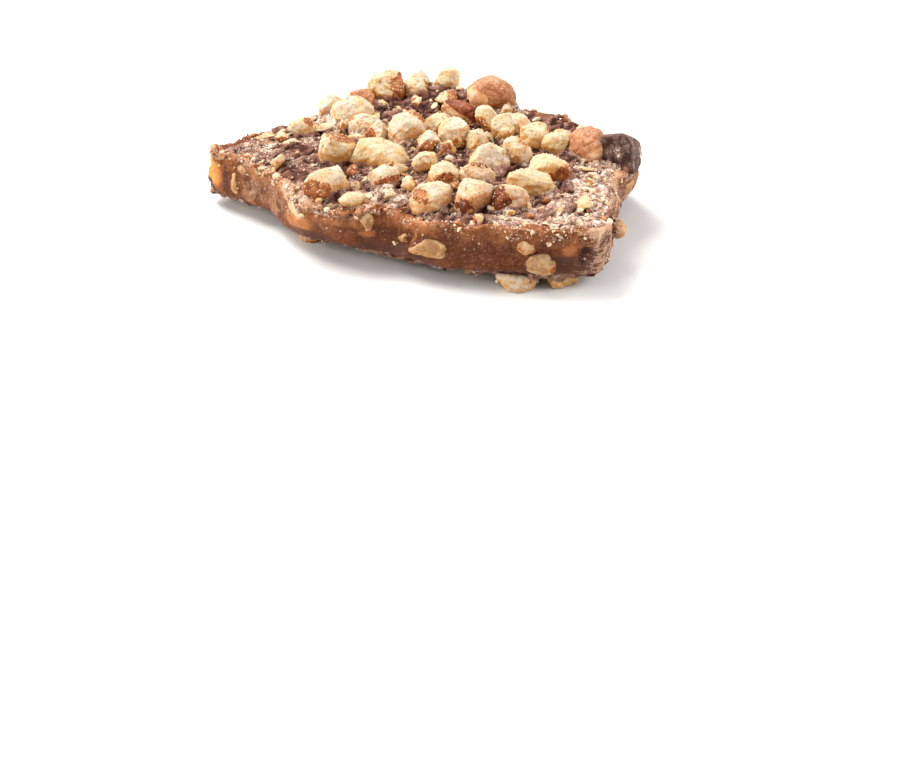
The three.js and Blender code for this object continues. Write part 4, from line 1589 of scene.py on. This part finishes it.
@dataclass
class Crumbs:
    """The loose chips and the nut meal, and where each may lie on the finished pieces."""

    palette: Palette
    side: BrokenSide
    drifts: Drifts
    slab: bpy.types.Object
    upper: bpy.types.Object
    lower: bpy.types.Object
    top: Sequence[bpy.types.Object]
    under: Sequence[bpy.types.Object]

    def build(self) -> list[bpy.types.Object]:
        """Strews every kind.

        Returns:
            The finished pieces, one for each kind.
        """
        face = Ground([self.upper, self.slab], self._on_face)
        drifts = Ground([self.upper, self.slab], self._in_drifts)
        pecans = Ground(self.top, self._on_pecans)
        wall = Ground([self.slab], self._on_side)
        below = Ground([self.lower, *self.under], self._below)
        chips = Chop(2, 5, 0.08, variants=10, kept=0.4).shapes()
        grains = Chop(0, 0, 0.45, variants=12).shapes()
        cream, skin = self.palette.cream, self.palette.skin
        dark, meal = self.palette.dark, self.palette.meal
        kinds = (
            (Litter("cream_chips_top", 650, 0.3, 1.7, 0.2, 0.25, 1), chips, face, cream),
            (Litter("skin_chips_top", 200, 0.3, 1.5, 0.2, 0.2, 2, "pecan_skin"), chips, face, skin),
            (Litter("chocolate_chips_top", 200, 0.3, 1.4, 0.25, 0.35, 3, "chocolate"),
             chips, face, dark),
            (Litter("nut_meal_top", 15500, 0.1, 0.4, 0.3, 0.25, 4), grains, drifts, meal),
            (Litter("nut_meal_on_pecans", 7000, 0.1, 0.32, 0.3, 0.3, 9), grains, pecans, cream),
            (Litter("nut_meal_side", 1500, 0.1, 0.34, 0.3, 0.3, 5), grains, wall, meal),
            (Litter("cream_chips_side", 50, 0.4, 1.3, 0.3, 0.4, 8), chips, wall, cream),
            (Litter("cream_chips_under", 200, 0.45, 1.6, 0.4, 0.2, 6), chips, below, cream),
            (Litter("nut_meal_under", 6000, 0.12, 0.5, 0.3, 0.3, 7), grains, below, meal),
        )
        return [litter.strew(shapes, ground, material) for litter, shapes, ground, material in kinds]

    def _on_face(self, at: np.ndarray, up: np.ndarray) -> np.ndarray:
        """Weight of each triangle for chips on the upper face."""
        upper = step(up[:, 2], 0.2, 0.7) * (at[:, 2] > self.side.high / 2)
        return upper * (0.15 + self.drifts.depth(at))

    def _in_drifts(self, at: np.ndarray, up: np.ndarray) -> np.ndarray:
        """Weight of each triangle for meal, which gathers in the drifts of the upper face."""
        dusty = np.clip(up[:, 2] - 0.1, 0, 1) * (0.05 + self.drifts.depth(at) ** 2)
        return dusty * (at[:, 2] > self.side.high / 2)

    @staticmethod
    def _on_pecans(_: np.ndarray, up: np.ndarray) -> np.ndarray:
        """Weight of each triangle for meal on the pecans, more where they face up."""
        return step(up[:, 2], 0.0, 0.9)

    def _on_side(self, at: np.ndarray, up: np.ndarray) -> np.ndarray:
        """Weight of each triangle for crumbs on the broken side, most near its rim and at the right."""
        rim = step(at[:, 2], self.side.high - 2 * MM, self.side.high)
        right = step(at[:, 0], 24 * MM, 33 * MM)
        patchy = (np.abs(up[:, 2]) < 0.7) * np.clip(0.4 + 2.0 * clouds(at, 4 * MM, 51.0), 0, 1)
        return patchy * (0.06 + rim + 0.5 * right)

    @staticmethod
    def _below(at: np.ndarray, up: np.ndarray) -> np.ndarray:
        """Weight of each triangle for crumbs underneath, clear of the table."""
        return np.clip(-up[:, 2] - 0.2, 0, 1) * (at[:, 2] > 0.6 * MM)


# ---------------------------------------------------------------- stage


@dataclass(frozen=True)
class Lamp:
    """A square soft lamp: its place and size in metres, its power in watts and its colour."""

    name: str
    place: tuple[float, float, float]
    size: float
    power: float
    color: Color

    def hang(self, toward: Vector) -> None:
        """Hangs the lamp, turned toward a point."""
        data = bpy.data.lights.new(self.name, "AREA")
        data.size, data.energy, data.color = self.size, self.power, self.color
        lamp = put(self.name, data)
        lamp.location = self.place
        lamp.rotation_euler = (toward - Vector(self.place)).to_track_quat("-Z", "Y").to_euler()


@dataclass
class Stage:
    """Pale floor, soft studio light and the camera."""

    floor_size: float = 6.0
    lens: float = 135.0
    pitch: float = 30.3
    distance: float = 0.579
    aim: tuple[float, float, float] = (0.0, 4.3 * MM, 6.5 * MM)
    aim_pixel: tuple[float, float] = (421.0, 165.0)
    frame_pixels: tuple[int, int] = (900, 778)
    sensor: float = 36.0
    lit_height: float = 0.006
    sky: float = 0.39
    lamps: Sequence[Lamp] = (
        Lamp("key", (-0.28, 0.24, 0.52), 0.48, 5.6, (1.0, 0.985, 0.96)),
        Lamp("left", (-0.55, -0.16, 0.24), 0.30, 1.8, (1.0, 0.985, 0.96)),
        Lamp("right", (0.50, -0.05, 0.28), 0.40, 2.2, (0.99, 0.99, 1.0)),
    )

    def build(self) -> None:
        """Sets the whole stage."""
        self._floor()
        self._lights()
        self._camera()

    def _floor(self) -> None:
        """A plain pale floor that reaches past the view on every side."""
        bpy.ops.object.select_all(action="DESELECT")
        bpy.ops.mesh.primitive_plane_add(size=self.floor_size)
        floor = bpy.context.object
        floor.name = "floor"
        floor.data.materials.append(PaleFloor().make())

    def _lights(self) -> None:
        """Large soft lamps, the key high at the left and behind, and an even white sky."""
        for lamp in self.lamps:
            lamp.hang(Vector((0, 0, self.lit_height)))
        world = bpy.data.worlds.new("studio")
        bpy.context.scene.world = world
        world.use_nodes = True
        sky = world.node_tree.nodes["Background"]
        sky.inputs["Color"].default_value = (1.0, 1.0, 1.0, 1.0)
        sky.inputs["Strength"].default_value = self.sky

    def _camera(self) -> None:
        """A long lens that looks down along +Y, placed so that the aim lands on its pixel."""
        tilt = math.radians(self.pitch)
        ahead = Vector((0, math.cos(tilt), -math.sin(tilt)))
        up = Vector((0, math.sin(tilt), math.cos(tilt)))
        width, height = self.frame_pixels
        focal = self.lens / self.sensor * width
        across, down = self.aim_pixel
        ray = ahead * focal
        ray += Vector((1, 0, 0)) * (across - width / 2) + up * (height / 2 - down)
        data = bpy.data.cameras.new("camera")
        data.lens, data.sensor_width = self.lens, self.sensor
        camera = put("camera", data)
        camera.location = Vector(self.aim) - ray.normalized() * self.distance
        camera.rotation_euler = ahead.to_track_quat("-Z", "Y").to_euler()
        bpy.context.scene.camera = camera
        bpy.context.scene.view_settings.view_transform = "Standard"
        bpy.context.scene.view_settings.look = "Medium High Contrast"


# ---------------------------------------------------------------- the whole shard


UNDER_PIECES = 17


def under_looks(count: int) -> list[PecanLook]:
    """Looks for the pieces under the shard, drawn by a seeded rule."""
    rng = np.random.default_rng(11)
    tones = (Tone.CREAM, Tone.YELLOW, Tone.CREAM, Tone.TAN)
    return [PecanLook(tones[index % 4], float(rng.choice((0.05, 0.12, 0.25, 0.36))),
                      float(rng.uniform(0, 360)), float(rng.uniform(-60, 0)))
            for index in range(count)]


def report(pieces: Sequence[bpy.types.Object]) -> None:
    """Logs the name and the number of faces of each piece."""
    for piece in pieces:
        LOG.info("%s: %d faces", piece.name, len(piece.data.polygons))


def main() -> None:
    """Builds the shard from the pecans inwards, strews the crumbs and sets the stage."""
    logging.basicConfig(level=logging.INFO, format="%(message)s")
    palette, side, drifts = Palette(), BrokenSide(), Drifts()
    top = Pecans("top_pecan", 1.0, TOP_LOOKS).build(palette)
    under = Pecans("under_pecan", -1.0, under_looks(UNDER_PIECES)).build(palette)
    slab = ToffeeSlab(side).build(palette)
    upper = ChocolateCoat("chocolate_top", "chocolate_coat_top", 1.0, side, drifts,
                          0.05 * MM, 0.8 * MM).build(palette, top)
    lower = ChocolateCoat("chocolate_under", "chocolate_coat_under", -1.0, side, drifts,
                          0.3 * MM, 0.7 * MM).build(palette, under)
    bits = [
        SmallPecans("small_pecans_top", "chocolate_top", Tone.YELLOW, 21).build(
            palette, Bumps("chocolate_top", 1.0).places()),
        SmallPecans("small_pecans_under", "chocolate_under", Tone.CREAM, 22).build(
            palette, Bumps("chocolate_under", -1.0).places()),
        SmallPecans("side_pecans", "toffee", Tone.BURIED, 23, 0.0).build(
            palette, side.pecans(slab), slab),
    ]
    report((*top, *under, slab, upper, lower, *bits))
    bare_pecans = [piece for piece, look in zip(top, TOP_LOOKS)
                   if look.tone is not Tone.COATED and look.cover < 0.5]
    report(Crumbs(palette, side, drifts, slab, upper, lower, [*bare_pecans, bits[0]], under).build())
    Stage().build()


if __name__ == "__main__":
    main()
